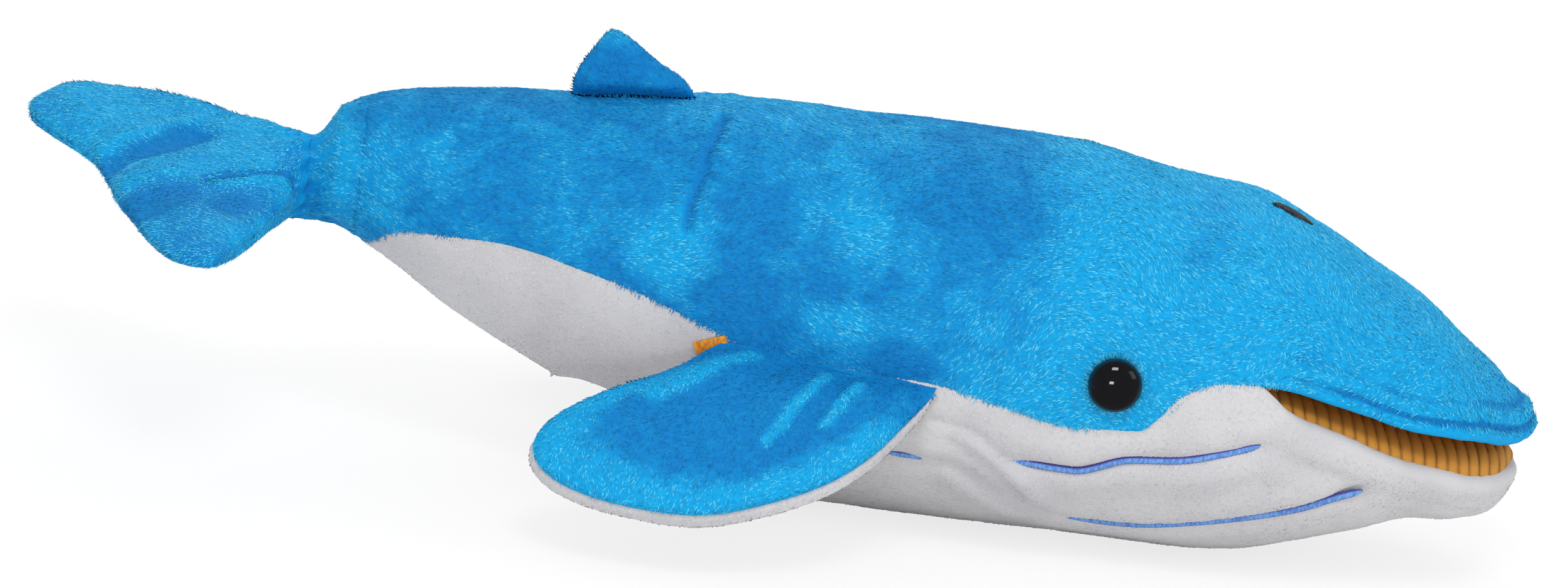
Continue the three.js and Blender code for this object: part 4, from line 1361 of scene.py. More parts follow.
def buildEye(side):
    # a profile of radius and reach from the dome's middle to the shank's end, turned about Y
    angle = np.linspace(0, math.pi / 2, 22)
    radius = np.concatenate([[1e-4], eye["radius"] * np.sin(angle[1:]) ** 0.96,
                             [eye["radius"] + 0.05, eye["radius"] - 0.15, eye["shank"] + 0.4,
                              eye["shank"], eye["shank"], 1e-4]])
    out = np.concatenate([[eye["height"]],
                          eye["rim"] + (eye["height"] - eye["rim"]) * np.cos(angle[1:]),
                          [0.0, -eye["rim"], -eye["rim"], -eye["rim"] - 0.4, -eye["shankLength"],
                           -eye["shankLength"]]])
    turn = roundTurn(72)
    reach = reachAt(eye) - eye["sink"]
    x = eye["x"] + radius[:, None] * np.cos(turn)
    z = eye["z"] + radius[:, None] * np.sin(turn)
    y = side * (reach + out[:, None] + 0 * turn)
    return np.stack([x, y, z], axis=-1)


eyes = {}
for side, label in ((1, "Left"), (-1, "Right")):
    grid = buildEye(side)
    eyes[label] = makePiece("eye" + label, grid, closedFaces(grid, flip=side > 0), eyeBlack, merge=0.001)
print("eyes made")

# Blowhole: a pointed oval of satin stitch over the top of the snout
blowhole = {"x": 51.0, "y": -4.0, "length": 11.0, "width": 4.6, "thickness": 0.75, "stitch": 0.5,
            "raggedness": 0.14, "ridge": 0.22, "lift": 0.35}


def buildBlowhole():
    # rings across the oval, wide as (1 - u^2)^0.9 and thick as (1 - u^4)^0.5, stepped by stitches
    u = np.linspace(-1, 1, 133)
    angle = roundTurn(32)
    along = u * blowhole["length"] / 2
    stitch = np.sin(2 * math.pi * along / blowhole["stitch"])
    ragged = 1 + blowhole["raggedness"] * np.sign(stitch)
    wide = blowhole["width"] / 2 * np.maximum(1 - u**2, 0) ** 0.9 * ragged
    ridged = 1 + blowhole["ridge"] * stitch
    rise = blowhole["thickness"] * np.maximum(1 - u**4, 0) ** 0.5 * ridged
    x = blowhole["x"] + along[:, None] + 0 * angle
    y = blowhole["y"] + wide[:, None] * np.cos(angle)
    z = skinHeight(x, y, 1) + blowhole["lift"] + rise[:, None] * np.sin(angle) * 0.9
    return np.stack([x, y, z], axis=-1)


blowholeGrid = buildBlowhole()
blowholePatch = makePiece("blowholePatch", blowholeGrid, closedFaces(blowholeGrid, flip=True),
                          blackThread, merge=0.0005)


# Stitched throat grooves: a thread laid in each channel of the belly, ridged by its stitches
def buildGroove(name, side):
    # a thread fades to a faint one behind the throat's folds, and the lower one shows once more
    # near its rear end
    length = smoothLine(grooves[name], 10)[2][-1]
    place, height, walked = smoothLine(grooves[name], int(length / grooves["sample"]))
    path = onBody(place, height, side)
    out = unit(np.stack([0 * place, 0 * place + side, -0.25 + 0 * place], axis=1))
    path = path - out * grooves["sink"]
    ends = np.clip(np.minimum(walked, length - walked) / grooves["endLength"], 0.05, 1) ** 0.5
    if name == "upper":
        full = grooves["faint"] + 0.7 * smoothStep(-27, -19, place)
    else:
        full = grooves["faint"] + 0.55 * smoothStep(-2, 14, place) + 0.15 * smoothStep(30, 60, place)
        full = full + 0.45 * np.exp(-(((place + 38) / 6) ** 4))
    radius = grooves["radius"] * full * ends
    path = path - out * (grooves["faintSink"] * (1 - full))[:, None]
    angle = roundTurn(16)
    twist = 2 * math.pi * walked[:, None] / grooves["stitch"] + grooves["slant"] * np.cos(angle)[None, :]
    size = radius[:, None] * (1 + grooves["ridge"] * np.sin(twist))
    grid = capped(tubeAlong(path, out, size, size * grooves["flatness"], 16))
    # share towards the thread's sides, where shade is painted on
    edge = np.broadcast_to(np.abs(np.cos(angle)) ** 1.5, grid.shape[:2])
    return grid, edge


threads = {}
for name in ("upper", "lower"):
    for side, label in ((1, "Left"), (-1, "Right")):
        grid, edge = buildGroove(name, side)
        threads[name + label] = makePiece("throatGroove" + name.capitalize() + label, grid,
                                          closedFaces(grid), grooveThread,
                                          values={"threadEdge": edge}, merge=0.001)
print("grooves stitched")

# Ribbon end in the right side seam
ribbon = {"x": -90.0, "z": 45.6, "length": 8.0, "half": 1.6, "thickness": 0.35, "slope": 24,
          "bow": 0.2, "lift": 0.35}


def buildRibbon():
    # a flat tube on the right side, bowed off the skin between its sewn ends
    share = np.linspace(-1, 1, 41)
    slope = math.radians(ribbon["slope"])
    along = share * ribbon["length"] / 2
    x = ribbon["x"] + along * math.cos(slope)
    z = ribbon["z"] + along * math.sin(slope)
    path = onBody(x, z, -1)
    out = unit(np.stack([0 * x - 0.15, 0 * x - 1, 0 * x - 0.12], axis=1))
    path = path + out * (ribbon["lift"] + ribbon["bow"] * (1 - share**2))[:, None]
    ends = np.maximum(1 - share**24, 0.15) ** 0.5
    return capped(tubeAlong(path, out, column(ribbon["half"] + 0 * ends),
                            column(ribbon["thickness"] * ends), 24, 3.2))


ribbonGrid = buildRibbon()
seamRibbon = makePiece("seamRibbon", ribbonGrid, closedFaces(ribbonGrid), ribbonOrange, merge=0.001)

# Stuffed pads: flippers and dorsal fin
def closedCurve(corners, count):
    # a smooth closed curve through the corners: cubic pieces whose slope at each corner runs
    # parallel to the line between its neighbours, walked evenly
    corners = np.asarray(corners, float)
    ahead = np.roll(corners, -1, axis=0)
    step = np.linalg.norm(ahead - corners, axis=1)
    back = np.roll(step, 1)
    slope = ((ahead - np.roll(corners, 1, axis=0)) / (step + back)[:, None])[:, None]
    nextSlope = np.roll(slope, -1, axis=0)
    t = np.linspace(0, 1, 60, endpoint=False)[None, :, None]
    scale = step[:, None, None]
    fine = (
        (2 * t**3 - 3 * t**2 + 1) * corners[:, None] + (t**3 - 2 * t**2 + t) * scale * slope
        + (3 * t**2 - 2 * t**3) * ahead[:, None] + (t**3 - t**2) * scale * nextSlope
    ).reshape(-1, 2)
    loop = np.concatenate([fine, fine[:1]])
    walked = walkedAlong(loop)
    at = np.linspace(0, walked[-1], count, endpoint=False)
    return linePoints(loop, walked, at)


# Each pad has a frame of its own: along the sewn root, outward from it, and off its face
flipper = {
    "root": (-85.3, 42.126, 47.0),
    "along": (0.98691, 0.15249, -0.05247),
    "outward": (-0.15594, 0.81934, -0.55169),
    "facing": (-0.04114, 0.55265, 0.8324),
    "outline": [(0, -1.2), (12.3, -0.6), (24.6, -0.4), (36.9, -0.6), (50.2, -1.0), (50, 5), (46.5, 13.5),
                (40, 26.5), (31, 38), (18, 48), (4, 55), (-12, 57), (-27, 55.5), (-36.5, 51), (-40, 44),
                (-37, 35), (-28, 25), (-13, 12.5)],
    "centre": (8, 27),
    "thickness": 13.0,
    "taper": 16.0,
    "fullness": 2.3,
    "seamDip": 0.5,
    # the white side stands out past the blue one round the free edge
    "topShift": -0.8,
    "underShift": 0.1,
    "rim": 2.0,
    "light": 0.38,
    # start, end, height and width of the folds on the upper face, along then outward
    "creases": [((24.5, 7), (14.5, 33), 0.9, 1.9), ((32.5, 8), (27, 24), 0.7, 1.6),
                ((40, 4), (38, 15), -0.6, 1.8), ((14, 4), (4, 22), -0.6, 3.0),
                ((6, 4), (-14, 24), 0.5, 3.0), ((28.5, 6), (20, 30), -0.8, 2.4)],
}
fin = {
    "root": (-129.025, 0.0, 92.837),
    "along": (0.99642, 0.0, 0.0846),
    "outward": (-0.0846, 0.0, 0.99642),
    "facing": (0.0, -1.0, 0.0),
    "outline": [(0.3, -1.5), (8, -1.0), (16, -0.8), (24, -1.0), (31, -1.5), (28, 4.2), (21, 9), (14, 14.6),
                (11.3, 16.2), (9.6, 16.7), (8.0, 16.0), (5.5, 12.9), (2.6, 8.9), (0.2, 4.2)],
    "centre": (12.5, 6.2),
    "thickness": 8.0,
    "taper": 4.0,
    "fullness": 2.3,
    "seamDip": 0.45,
    "topShift": 0.0,
    "underShift": 0.0,
    "rim": 0.0,
    "light": 0.4,
    "creases": [((12, 3), (11, 9), -0.4, 2.2)],
}


padSkin = {
    # how much lighter the colour is towards the free edge, the painted highlight on a raised fold and the
    # painted shade in a dent
    "edgeLight": 0.3,
    "foldPaintedHighlight": 0.3,
    "dentPaintedShade": -0.12,
    "lumps": (0.35, 13),
    "seamWidth": 0.8,
    # shares of the rings that close a pad's flat side
    "floorRings": (0.66, 0.33, 1e-5),
}


def inFrame(local, pad, mirror=1):
    placed = (
        np.array(pad["root"]) + local[..., :1] * np.array(pad["along"])
        + local[..., 1:2] * np.array(pad["outward"]) + local[..., 2:] * np.array(pad["facing"])
    )
    placed[..., 1] *= mirror
    return placed


def padFace(pad, rings, sides, way, seed):
    # a pillow's half: the outline drawn in towards its centre by sin(a)^(2/f), raised by
    # cos(a)^(2/f) of its half thickness, for a from nought at the centre to a right angle at the
    # edge; it thins to its root and dips to its seam
    edge = closedCurve(pad["outline"], sides)
    centre = np.array(pad["centre"], float)
    away = unit(edge - centre)
    free = smoothStep(1, 9, edge[:, 1])
    edge = edge + (pad["topShift" if way > 0 else "underShift"] * free)[:, None] * away
    angle = np.linspace(0, math.pi / 2, rings)
    grow = np.sin(angle) ** (2 / pad["fullness"])
    grow[0] = padSkin["floorRings"][-1]
    rise = np.cos(angle) ** (2 / pad["fullness"])
    rise[-1] = 0
    flat = centre + grow[:, None, None] * (edge - centre)[None]
    fromRoot = np.sin(np.clip(flat[..., 1] / pad["taper"], 0.05, 1) * math.pi / 2)
    z = pad["thickness"] / 2 * rise[:, None] * fromRoot
    lumps = lumpy(np.concatenate([flat, z[..., None]], axis=-1), [(*padSkin["lumps"], seed)])
    edgeLight = padSkin["edgeLight"] * smoothStep(0.55, 0.97, grow)[:, None]
    light = pad["light"] + edgeLight * smoothStep(8, 26, flat[..., 1])
    creases = np.zeros(z.shape)
    # raised folds are painted lighter as a highlight, dents painted darker as shade
    if way > 0:
        for start, end, height, width in pad["creases"]:
            near = ridge(lineDistance(flat, [start, end]), 1, width)
            creases = creases + height * near
            light = light + padSkin["foldPaintedHighlight" if height > 0 else "dentPaintedShade"] * near
    inner = np.minimum(rise * 2.2, 1)[:, None]
    z = z + (lumps + creases) * inner
    dip = ridge(z, pad["seamDip"], padSkin["seamWidth"]) * (grow > 0.8)[:, None]
    flat = flat + dip[..., None] * unit(centre - flat)
    if way < 0 and pad["rim"]:
        # the rim turns back in above its widest ring, up to the seam
        z = z + pad["rim"] * free * grow[:, None]
        turn = np.linspace(0, math.pi / 2, 7)[1:]
        back = pad["rim"] * (1 - np.cos(turn))[:, None, None] * (free[:, None] * away)[None]
        flat = np.concatenate([flat, flat[-1:] - back])
        z = np.concatenate([z, z[-1:] * (1 - np.sin(turn))[:, None]])
        light = np.concatenate([light, np.repeat(light[-1:], len(turn), axis=0)])
    return np.concatenate([flat, way * z[..., None]], axis=-1), light


def wrapped(grid):
    # the first column once more at the end, for a surface that goes all the way round
    return np.concatenate([grid, grid[:, :1]], axis=1)


def makePad(name, pad, way, mirror, material, seed, rings=46, sides=230):
    # one sewn side of a pad with the flat that closes it, and its outer skin for the pile
    face, light = padFace(pad, rings, sides, way, seed)
    floor = face[-1:] * np.array([1, 1, 0])
    centre = np.array([*pad["centre"], 0.0])
    shares = np.array(padSkin["floorRings"])
    inner = centre + (floor - centre) * shares[:, None, None]
    grid = inFrame(np.concatenate([face, inner]), pad, mirror)
    lit = np.concatenate([light, np.repeat(light[-1:], len(shares), axis=0)])
    flip = (way > 0) != (mirror > 0)
    piece = makePiece(name, grid, closedFaces(grid, flip), material, values={"napPaintedLight": lit}, merge=0.003)
    skinGrid = inFrame(wrapped(face), pad, mirror)
    return piece, skinGrid, gridNormals(skinGrid, flip), wrapped(light)


pads = {}
for side, label in ((1, "Left"), (-1, "Right")):
    pads["top" + label] = makePad("flipperTop" + label, flipper, 1, side, velourBlue, 51)
    pads["under" + label] = makePad("flipperUnder" + label, flipper, -1, side, whitePlush, 52)
for way, label in ((1, "Right"), (-1, "Left")):
    pads["fin" + label] = makePad("dorsalFin" + label, fin, way, 1, velourBlue, 53, 30, 120)
print("flippers and dorsal fin made")

# Gathered cuff and tail flukes, sharing the ring of the waist
flukes = {
    "along": (0.93358, 0.35837, 0.0),
    "across": (-0.3564, 0.92847, 0.10453),
    "facing": (0.03746, -0.09759, 0.99452),
    # distance behind the waist, half the span, half the thickness
    "rows": [(0, 10, 10), (3, 10.3, 9.8), (6, 12.2, 9.4), (12, 21.5, 8.6), (20, 32, 7.6), (29, 42.8, 6.7),
             (38, 51.4, 6.0), (46, 56.6, 5.2), (51.5, 57.5, 4.2), (56, 56.5, 3.4)],
    "waistHalf": 10.0,
    "reach": 56.0,
    "tipHalf": 56.5,
    # place across, and how far back the trailing edge lies there: the far lobe sweeps back more
    "trailing": [(-58, 47), (-55, 50.5), (-49, 52.6), (-38, 53.4), (-20, 53.4), (-5, 52.2), (6, 51.6),
                 (17, 53.8), (27, 57.4), (36, 59.6), (43, 58.4), (50, 53), (58, 45)],
    # height of the near lobe's curl and of its shoulder, each with its width and how far back
    "curl": (5.4, 15.0, 18.0),
    "shoulder": (3.2, 4.5, 6.5),
    # how light the colour is: in all, less by painted shade on the under face and along the far trailing
    # edge, more by a painted highlight on a raised fold and less by painted shade in a dent
    "light": 0.56,
    "dim": 0.1,
    "shadedEdge": 0.25,
    "foldPaintedHighlight": 0.15,
    "dentPaintedShade": -0.45,
    # how much lighter the pile lies than the ground it stands on
    "pileLift": 0.2,
    # amount, size and seed of the crushed patches; height, size and seed of the lumps
    "crushed": (0.2, 12, 62),
    "lumps": (0.5, 15, 61),
    "roundFrom": 42.0,
    "roundness": 2.5,
    "seamDip": 0.6,
    # start, end, height and width of the folds on the upper face, across then back
    "creases": [((-3, 57), (9, 26), -2.6, 4.6), ((7, 57), (17, 25), 1.3, 3.2),
                ((-14, 57), (-12, 38), 1.2, 3.0), ((-17, 31), (-14, 8), -1.3, 1.9),
                ((-20.5, 30), (-17, 10), 0.9, 2.0), ((-32, 30), (-28, 24), -1.5, 6.5),
                ((-30, 52), (-24, 40), -0.8, 5.0)],
    "seamWidth": 0.9,
    "gathers": 11,
    "gatherDepth": 0.75,
    "gatherReach": 9.0,
    "cuffWall": 1.2,
}


def gatherWave(turn, distance):
    # folds round the waist that fade out from it, uneven in size
    wave = np.cos(flukes["gathers"] * turn + 1.1 * np.sin(2 * turn) + 0.6 * np.sin(3 * turn + 1))
    return ridge(distance, flukes["gatherDepth"] * (wave - 0.5), flukes["gatherReach"])


def waistRing(turn):
    power = 2 / body["roundness"]
    half = flukes["waistHalf"]
    return np.stack([0 * turn + body["waist"][0], half * roundedPower(np.cos(turn), power),
                     body["waist"][1] + half * roundedPower(np.sin(turn), power)], axis=-1)


def buildCuff():
    # the body's own section, drawn together into the ring of the waist
    waist = body["waist"][0]
    places = np.concatenate([np.linspace(body["cuffFrom"], waist + 6, 12),
                             np.linspace(waist + 5.6, waist, 22)])
    turn = roundTurn(160) - math.pi / 2
    own = bodyPoints(places[:, None], turn[None, :])
    ring = waistRing(turn)[None]
    share = smoothStep(waist + 7.5, waist, places)[:, None, None]
    grid = own * (1 - share) + ring * share
    grid[..., 0] = places[:, None]
    centre = np.stack([places, 0 * places, np.full(len(places), body["waist"][1])], axis=-1)[:, None]
    outward = unit((grid - centre) * np.array([0, 1, 1]))
    distance = (places - waist)[:, None] * 0.8
    lumps = blueRelief(grid) * (1 - share[..., 0])
    relief = lumps + gatherWave(turn[None, :], distance)
    return grid + outward * relief[..., None]


def buildFlukes():
    # rounded sections across the tail, behind one another; their rear ones bow to the trailing
    # edge, with its notch and rounded corners, where their thickness closes as a superellipse
    back = np.concatenate([np.linspace(0, 6, 16), np.linspace(6.6, 40, 60),
                           40 + 16 * np.sin(np.linspace(0, 1, 31)[1:] * math.pi / 2)])
    turn = roundTurn(240) - math.pi / 2
    half = curveThrough(flukes["rows"], back, 1)
    rise = curveThrough(flukes["rows"], back, 2)
    past = np.clip((back - flukes["roundFrom"]) / (flukes["reach"] - flukes["roundFrom"]), 0, 1)
    n = flukes["roundness"]
    rise = rise * (1 - past**n) ** (1 / n)
    power = 2 / (2.15 + 0.5 * smoothStep(6, 30, back))[:, None]
    v = roundedPower(np.cos(turn)[None, :], power)
    w = roundedPower(np.sin(turn)[None, :], power)
    late = smoothStep(20, flukes["reach"], back)[:, None]
    end = curveThrough(flukes["trailing"], flukes["tipHalf"] * np.clip(v, -1, 1))
    length = back[:, None] * (1 + late * (end / flukes["reach"] - 1))
    across = half[:, None] * v
    near = np.maximum(v, 0)
    curl = near**3 * ridge(back, *flukes["curl"])[:, None]
    height = rise[:, None] * w + curl + near * ridge(back, *flukes["shoulder"])[:, None]
    upper = np.stack([across, length], axis=-1)
    face = np.clip(w * 3, 0, 1)
    creases = np.zeros(across.shape)
    # painted shade on the under face and along the far trailing edge
    light = flukes["light"] - flukes["dim"] * smoothStep(0.0, -0.5, w)
    light = light - flukes["shadedEdge"] * smoothStep(34, 50, length) * smoothStep(-0.1, -0.5, v)
    # painted highlights on raised folds, painted shade in dents
    for start, end, size, width in flukes["creases"]:
        close = ridge(lineDistance(upper, [start, end]), 1, width)
        creases = creases + size * close
        light = light + face * close * flukes["foldPaintedHighlight" if size > 0 else "dentPaintedShade"]
    closing = np.clip(rise / 2.5, 0, 1)[:, None]
    lumps = lumpy(np.stack([across, length, height], axis=-1), [flukes["lumps"]])
    light = light + lumpy(np.stack([across, 1.6 * length, height], axis=-1), [flukes["crushed"]])
    height = height + (face * creases + lumps) * closing
    dip = ridge(height, flukes["seamDip"], flukes["seamWidth"]) * smoothStep(6, 14, back)[:, None]
    across = across - np.sign(v) * dip * (np.abs(v) > 0.8)
    length = length - dip * past[:, None]
    waist = np.array([body["waist"][0], 0, body["waist"][1]])
    placed = (
        waist - length[..., None] * np.array(flukes["along"])
        + across[..., None] * np.array(flukes["across"]) + height[..., None] * np.array(flukes["facing"])
    )
    ring = waistRing(turn)[None]
    share = smoothStep(6, 0, back)[:, None, None]
    grid = placed * (1 - share) + ring * share
    grid[0] = ring[0]
    centre = waist - back[:, None, None] * np.array(flukes["along"])
    outward = unit(grid - centre)
    relief = gatherWave(turn[None, :], back[:, None])
    return grid + outward * relief[..., None], light


cuffGrid = buildCuff()
flukesGrid, flukesLight = buildFlukes()
tailCuff = makePiece("tailCuff", cuffGrid, closedFaces(cuffGrid), velourBlue,
                     values={"napPaintedLight": napPaintedLight(cuffGrid)})
thicken(tailCuff, flukes["cuffWall"])
waistMiddle = flukesGrid[:1].mean(axis=1, keepdims=True)
capShares = np.array(padSkin["floorRings"][::-1])
waistCap = waistMiddle + (flukesGrid[:1] - waistMiddle) * capShares[:, None, None]
flukesWhole = np.concatenate([waistCap, flukesGrid])
tailFlukes = makePiece("tailFlukes", flukesWhole, closedFaces(flukesWhole), velourBlue,
                       values={"napPaintedLight": np.concatenate([flukesLight[[0, 0, 0]], flukesLight])},
                       merge=0.003)
print("cuff and flukes made")

# Pile
pile = {
    "trunk": {"count": 47000, "length": 1.5, "width": 0.46, "rise": 6, "swirl": 55, "stray": 12,
              "patch": 18.0, "seed": 71},
    "head": {"count": 47000, "length": 1.6, "width": 0.48, "rise": 6.5, "swirl": 75, "stray": 16,
             "patch": 15.0, "seed": 70},
    "belly": {"count": 26000, "length": 0.75, "width": 0.5, "rise": 8, "swirl": 80, "stray": 40,
              "patch": 9.0, "sparkle": 0.05, "seed": 72},
    "fin": {"count": 9000, "length": 1.4, "width": 0.44, "rise": 6, "swirl": 55, "stray": 14,
            "patch": 12.0, "seed": 73},
    "smallFin": {"count": 1300, "length": 1.2, "width": 0.42, "rise": 7, "swirl": 40, "stray": 16,
                 "patch": 10.0, "seed": 74},
    "tail": {"count": 26000, "length": 1.4, "width": 0.44, "rise": 6, "swirl": 65, "stray": 14,
             "patch": 12.0, "seed": 75},
    "cuff": {"count": 4200, "length": 1.4, "width": 0.44, "rise": 6, "swirl": 45, "stray": 16,
             "patch": 12.0, "seed": 76},
    "under": {"count": 9000, "length": 0.75, "width": 0.5, "rise": 9, "swirl": 80, "stray": 40,
              "patch": 9.0, "sparkle": 0.05, "seed": 77},
    "blueEdge": {"perMillimetre": 9, "length": 1.5, "width": 0.42, "rise": 6, "stray": 38,
                 "spread": 0.9, "seed": 78},
    "whiteEdge": {"perMillimetre": 15, "length": 0.9, "width": 0.4, "rise": 8, "stray": 45,
                  "spread": 0.8, "sparkle": 0.06, "seed": 79},
    "flipperEdge": {"perMillimetre": 11, "length": 1.4, "width": 0.42, "rise": -4, "stray": 42,
                    "spread": 1.0, "seed": 81},
    "eyeEdge": {"count": 620, "length": 1.7, "width": 0.34, "rise": 24, "stray": 24, "seed": 80},
}
pilePlaces = {
    # where the back's pile is parted in two pieces
    "split": -38.0,
    # the stretch of the seam that the flippers' roots cover
    "flipperRoots": (-86.0, -37.0),
    # how far the fringes run on past the mouth's corner: blue, white
    "blueRunOn": 6.0,
    "whiteRunOn": 5.0,
    "aroundEye": 0.2,
    "aroundWaist": 1.3,
    # how far out from the eye its ruffle starts, and how wide it is
    "ruffle": (0.35, 1.3),
    "flipperFree": 2.5,
}


def seeded(kind, more):
    return dict(pile[kind], seed=pile[kind]["seed"] + more)


def underFlipper(place):
    return (place > pilePlaces["flipperRoots"][0]) & (place < pilePlaces["flipperRoots"][1])


def clearOfEye(roots):
    return np.hypot(roots[:, 0] - eye["x"], roots[:, 2] - eye["z"]) > eye["radius"] + pilePlaces["aroundEye"]


def trunkAndHead():
    # the back's skin in two stretches, for its two pieces of pile
    row = int(np.searchsorted(backSkin[:, backSkin.shape[1] // 2, 0], pilePlaces["split"]))
    made = []
    for name, part, settings in (("whaleBackPileTrunk", slice(0, row + 1), pile["trunk"]),
                                 ("whaleBackPileHead", slice(row, None), pile["head"])):
        points = backSkin[part]
        made.append(pileOver(name, points, backNormals[part], (-1, 0, -0.12), settings,
                             velourBluePile, napPaintedLight(points), clearOfEye))
    return made


backPiles = trunkAndHead()
bellyPiles = []
for k, label in ((0, "Left"), (1, "Right")):
    points, normals = bellyHalves[k]
    bellyPiles.append(pileOver("whaleBellyPile" + label, points, normals, (-1, 0, 0),
                               seeded("belly", 10 * k), whitePlushPile, 0 * points[..., 0]))


def edgeOf(points, normals, k, keep):
    # a skin's first or last column, its normals, and the way that leads out over it
    over = unit(points[:, k] - points[:, 3 if k == 0 else -4])
    over[-2:] = over[-3]
    return points[keep, k], normals[keep, k], over[keep]


for k, label in ((0, "Left"), (-1, "Right")):
    # a fringe of blue pile over the side seam
    behind = backSkin[:, k, 0] < body["mouthCorner"][0] + pilePlaces["blueRunOn"]
    line, out, over = edgeOf(backSkin, backNormals, k, behind)
    backPiles.append(fringe("seamPile" + label, line, out, over, seeded("blueEdge", 10 * (k + 1)),
                            velourBluePile, napPaintedLight(line)))
for half, k, label in ((0, 0, "Left"), (1, -1, "Right")):
    # and one of white pile from below
    points, normals = bellyHalves[half]
    at = points[:, k, 0]
    inside = (at > at[3]) & (at < body["mouthCorner"][0] + pilePlaces["whiteRunOn"])
    line, out, over = edgeOf(points, normals, k, inside)
    bellyPiles.append(fringe("bellyEdgePile" + label, line, out, over, seeded("whiteEdge", 10 * half),
                             whitePlushPile, 0 * line[:, 0], underFlipper))


def eyeTufts(side, label):
    # tufts that stand on the skin round the eye and lean in over its edge
    settings = seeded("eyeEdge", side)
    random = np.random.default_rng(settings["seed"])
    angle = random.random(settings["count"]) * 2 * math.pi
    start, width = pilePlaces["ruffle"]
    radius = eye["radius"] + start + width * random.random(settings["count"])
    x = eye["x"] + radius * np.cos(angle)
    z = eye["z"] + radius * np.sin(angle)
    middle = backSkin.shape[1] // 2
    half = slice(0, middle) if side > 0 else slice(middle, None)
    points, normals = backSkin[:, half], backNormals[:, half]
    close = np.hypot(points[..., 0] - eye["x"], points[..., 2] - eye["z"]) < eye["radius"] + 5
    points, normals = points[close], normals[close]
    nearest = np.argmin((points[:, 0] - x[:, None]) ** 2 + (points[:, 2] - z[:, None]) ** 2, axis=1)
    roots = np.stack([x, points[nearest, 1], z], axis=1)
    out = normals[nearest]
    inward = np.stack([-np.cos(angle), 0 * angle, -np.sin(angle)], axis=1)
    turn = math.radians(settings["stray"]) * random.standard_normal(len(angle))
    beside = np.cross(out, inward)
    lean = inward * np.cos(turn)[:, None] + beside * np.sin(turn)[:, None]
    lean = unit(lean - (lean * out).sum(-1, keepdims=True) * out)
    return makeTufts("eyeEdgePile" + label, roots, out, lean, settings, random, velourBluePile,
                     napPaintedLight(roots))


def clearOfWaist(roots):
    return np.abs(roots[:, 0] - body["waist"][0]) > pilePlaces["aroundWaist"]


eyePiles = [eyeTufts(1, "Left"), eyeTufts(-1, "Right")]
padPiles = {}
for label, (piece, grid, normals, light) in pads.items():
    small = label.startswith("fin")
    settings = pile["smallFin" if small else ("fin" if label.startswith("top") else "under")]
    finish = whitePlushPile if label.startswith("under") else velourBluePile
    way = (-0.6, 0, 0.8) if small else (-0.35, 0.9 if "Left" in label else -0.9, -0.5)
    padPiles[label] = pileOver(piece.name + "Pile", grid, normals, way, settings, finish, light)
for side, label in ((1, "Left"), (-1, "Right")):
    # tufts of the blue side that hang over its free edge
    grid, normals, light = pads["top" + label][1:]
    line = grid[-1, :-1]
    fromRoot = line * np.array([1, side, 1]) - np.array(flipper["root"])
    free = fromRoot @ np.array(flipper["outward"]) > pilePlaces["flipperFree"]
    first = int(np.argmax(free & ~np.roll(free, 1)))
    order = np.roll(np.arange(len(line)), -first)
    order = order[free[order]]
    over = unit(line - grid[-6, :-1])
    padPiles["edge" + label] = fringe("flipperEdgePile" + label, line[order], normals[-4, order],
                                      over[order], seeded("flipperEdge", side), velourBluePile,
                                      light[-1, order])
tailGrid = wrapped(flukesGrid)
flukesPile = pileOver("tailFlukesPile", tailGrid, gridNormals(tailGrid), (-1, -0.3, 0), pile["tail"],
                      velourBluePile, wrapped(flukesLight) + flukes["pileLift"], clearOfWaist)
cuffWhole = wrapped(cuffGrid)
cuffPile = pileOver("tailCuffPile", cuffWhole, gridNormals(cuffWhole), (-1, 0, 0), pile["cuff"],
                    velourBluePile, napPaintedLight(cuffWhole), clearOfWaist)
print("pile laid")


# What each piece stands for and moves with. A bend is two bodies and, in metres, where a piece
# leaves the first and where it wholly follows the second
bends = {
    "upperJaw": ("trunk", "upper_jaw", (0.0272, 0, 0.0518), (0.0568, 0, 0.0562)),
    "lowerJaw": ("trunk", "lower_jaw", (0.0201, 0, 0.0517), (0.0639, 0, 0.0563)),
    "cuff": ("trunk", "waist", (-0.178, 0, 0.0645), (-0.191, 0, 0.0645)),
    "flukes": ("waist", "flukes", (-0.191, 0, 0.0645), (-0.2003, -0.0036, 0.0645)),
}


def tie(piece, moves, finish, *replaced):
    # bakes the placement of a piece that spans a bend into its mesh, or lets it ride on one body, and hides
    # the solids that it replaces
    if moves in bends:
        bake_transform(piece)
    else:
        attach(piece, moves)
    if replaced:
        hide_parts(*replaced)


tie(whaleBack, "upperJaw", "velour", "back_panel", "neck_fold", "snout_panel", "back_stuffing",
    "snout_stuffing", "tail_stuffing")
tie(whaleBelly, "lowerJaw", "plush", "belly_panel", "throat_fold", "jaw_panel", "belly_stuffing",
    "jaw_stuffing")
tie(blowholePatch, "upperJaw", "black_thread", "blowhole_patch")
for piece in (*backPiles, *eyePiles):
    tie(piece, "upperJaw", "velour")
for piece in bellyPiles:
    tie(piece, "lowerJaw", "plush")
for label in ("Left", "Right"):
    side = label.lower()
    flap = "flipper_" + side
    tie(threads["upper" + label], "lowerJaw", "groove_thread", "throat_groove_upper_" + side)
    tie(threads["lower" + label], "lowerJaw", "groove_thread", "throat_groove_lower_" + side,
        "jaw_groove_" + side)
    tie(eyes[label], "trunk", "eye", "eye_" + side)
    tie(pads["top" + label][0], flap, "velour", "flipper_top_" + side, "flipper_stuffing_" + side)
    tie(pads["under" + label][0], flap, "plush", "flipper_under_" + side)
    tie(padPiles["top" + label], flap, "velour")
    tie(padPiles["edge" + label], flap, "velour")
    tie(padPiles["under" + label], flap, "plush")
    tie(padPiles["fin" + label], "dorsal_fin", "velour")
    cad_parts["eye_washer_" + side].material_slots[0].material = washerPlastic
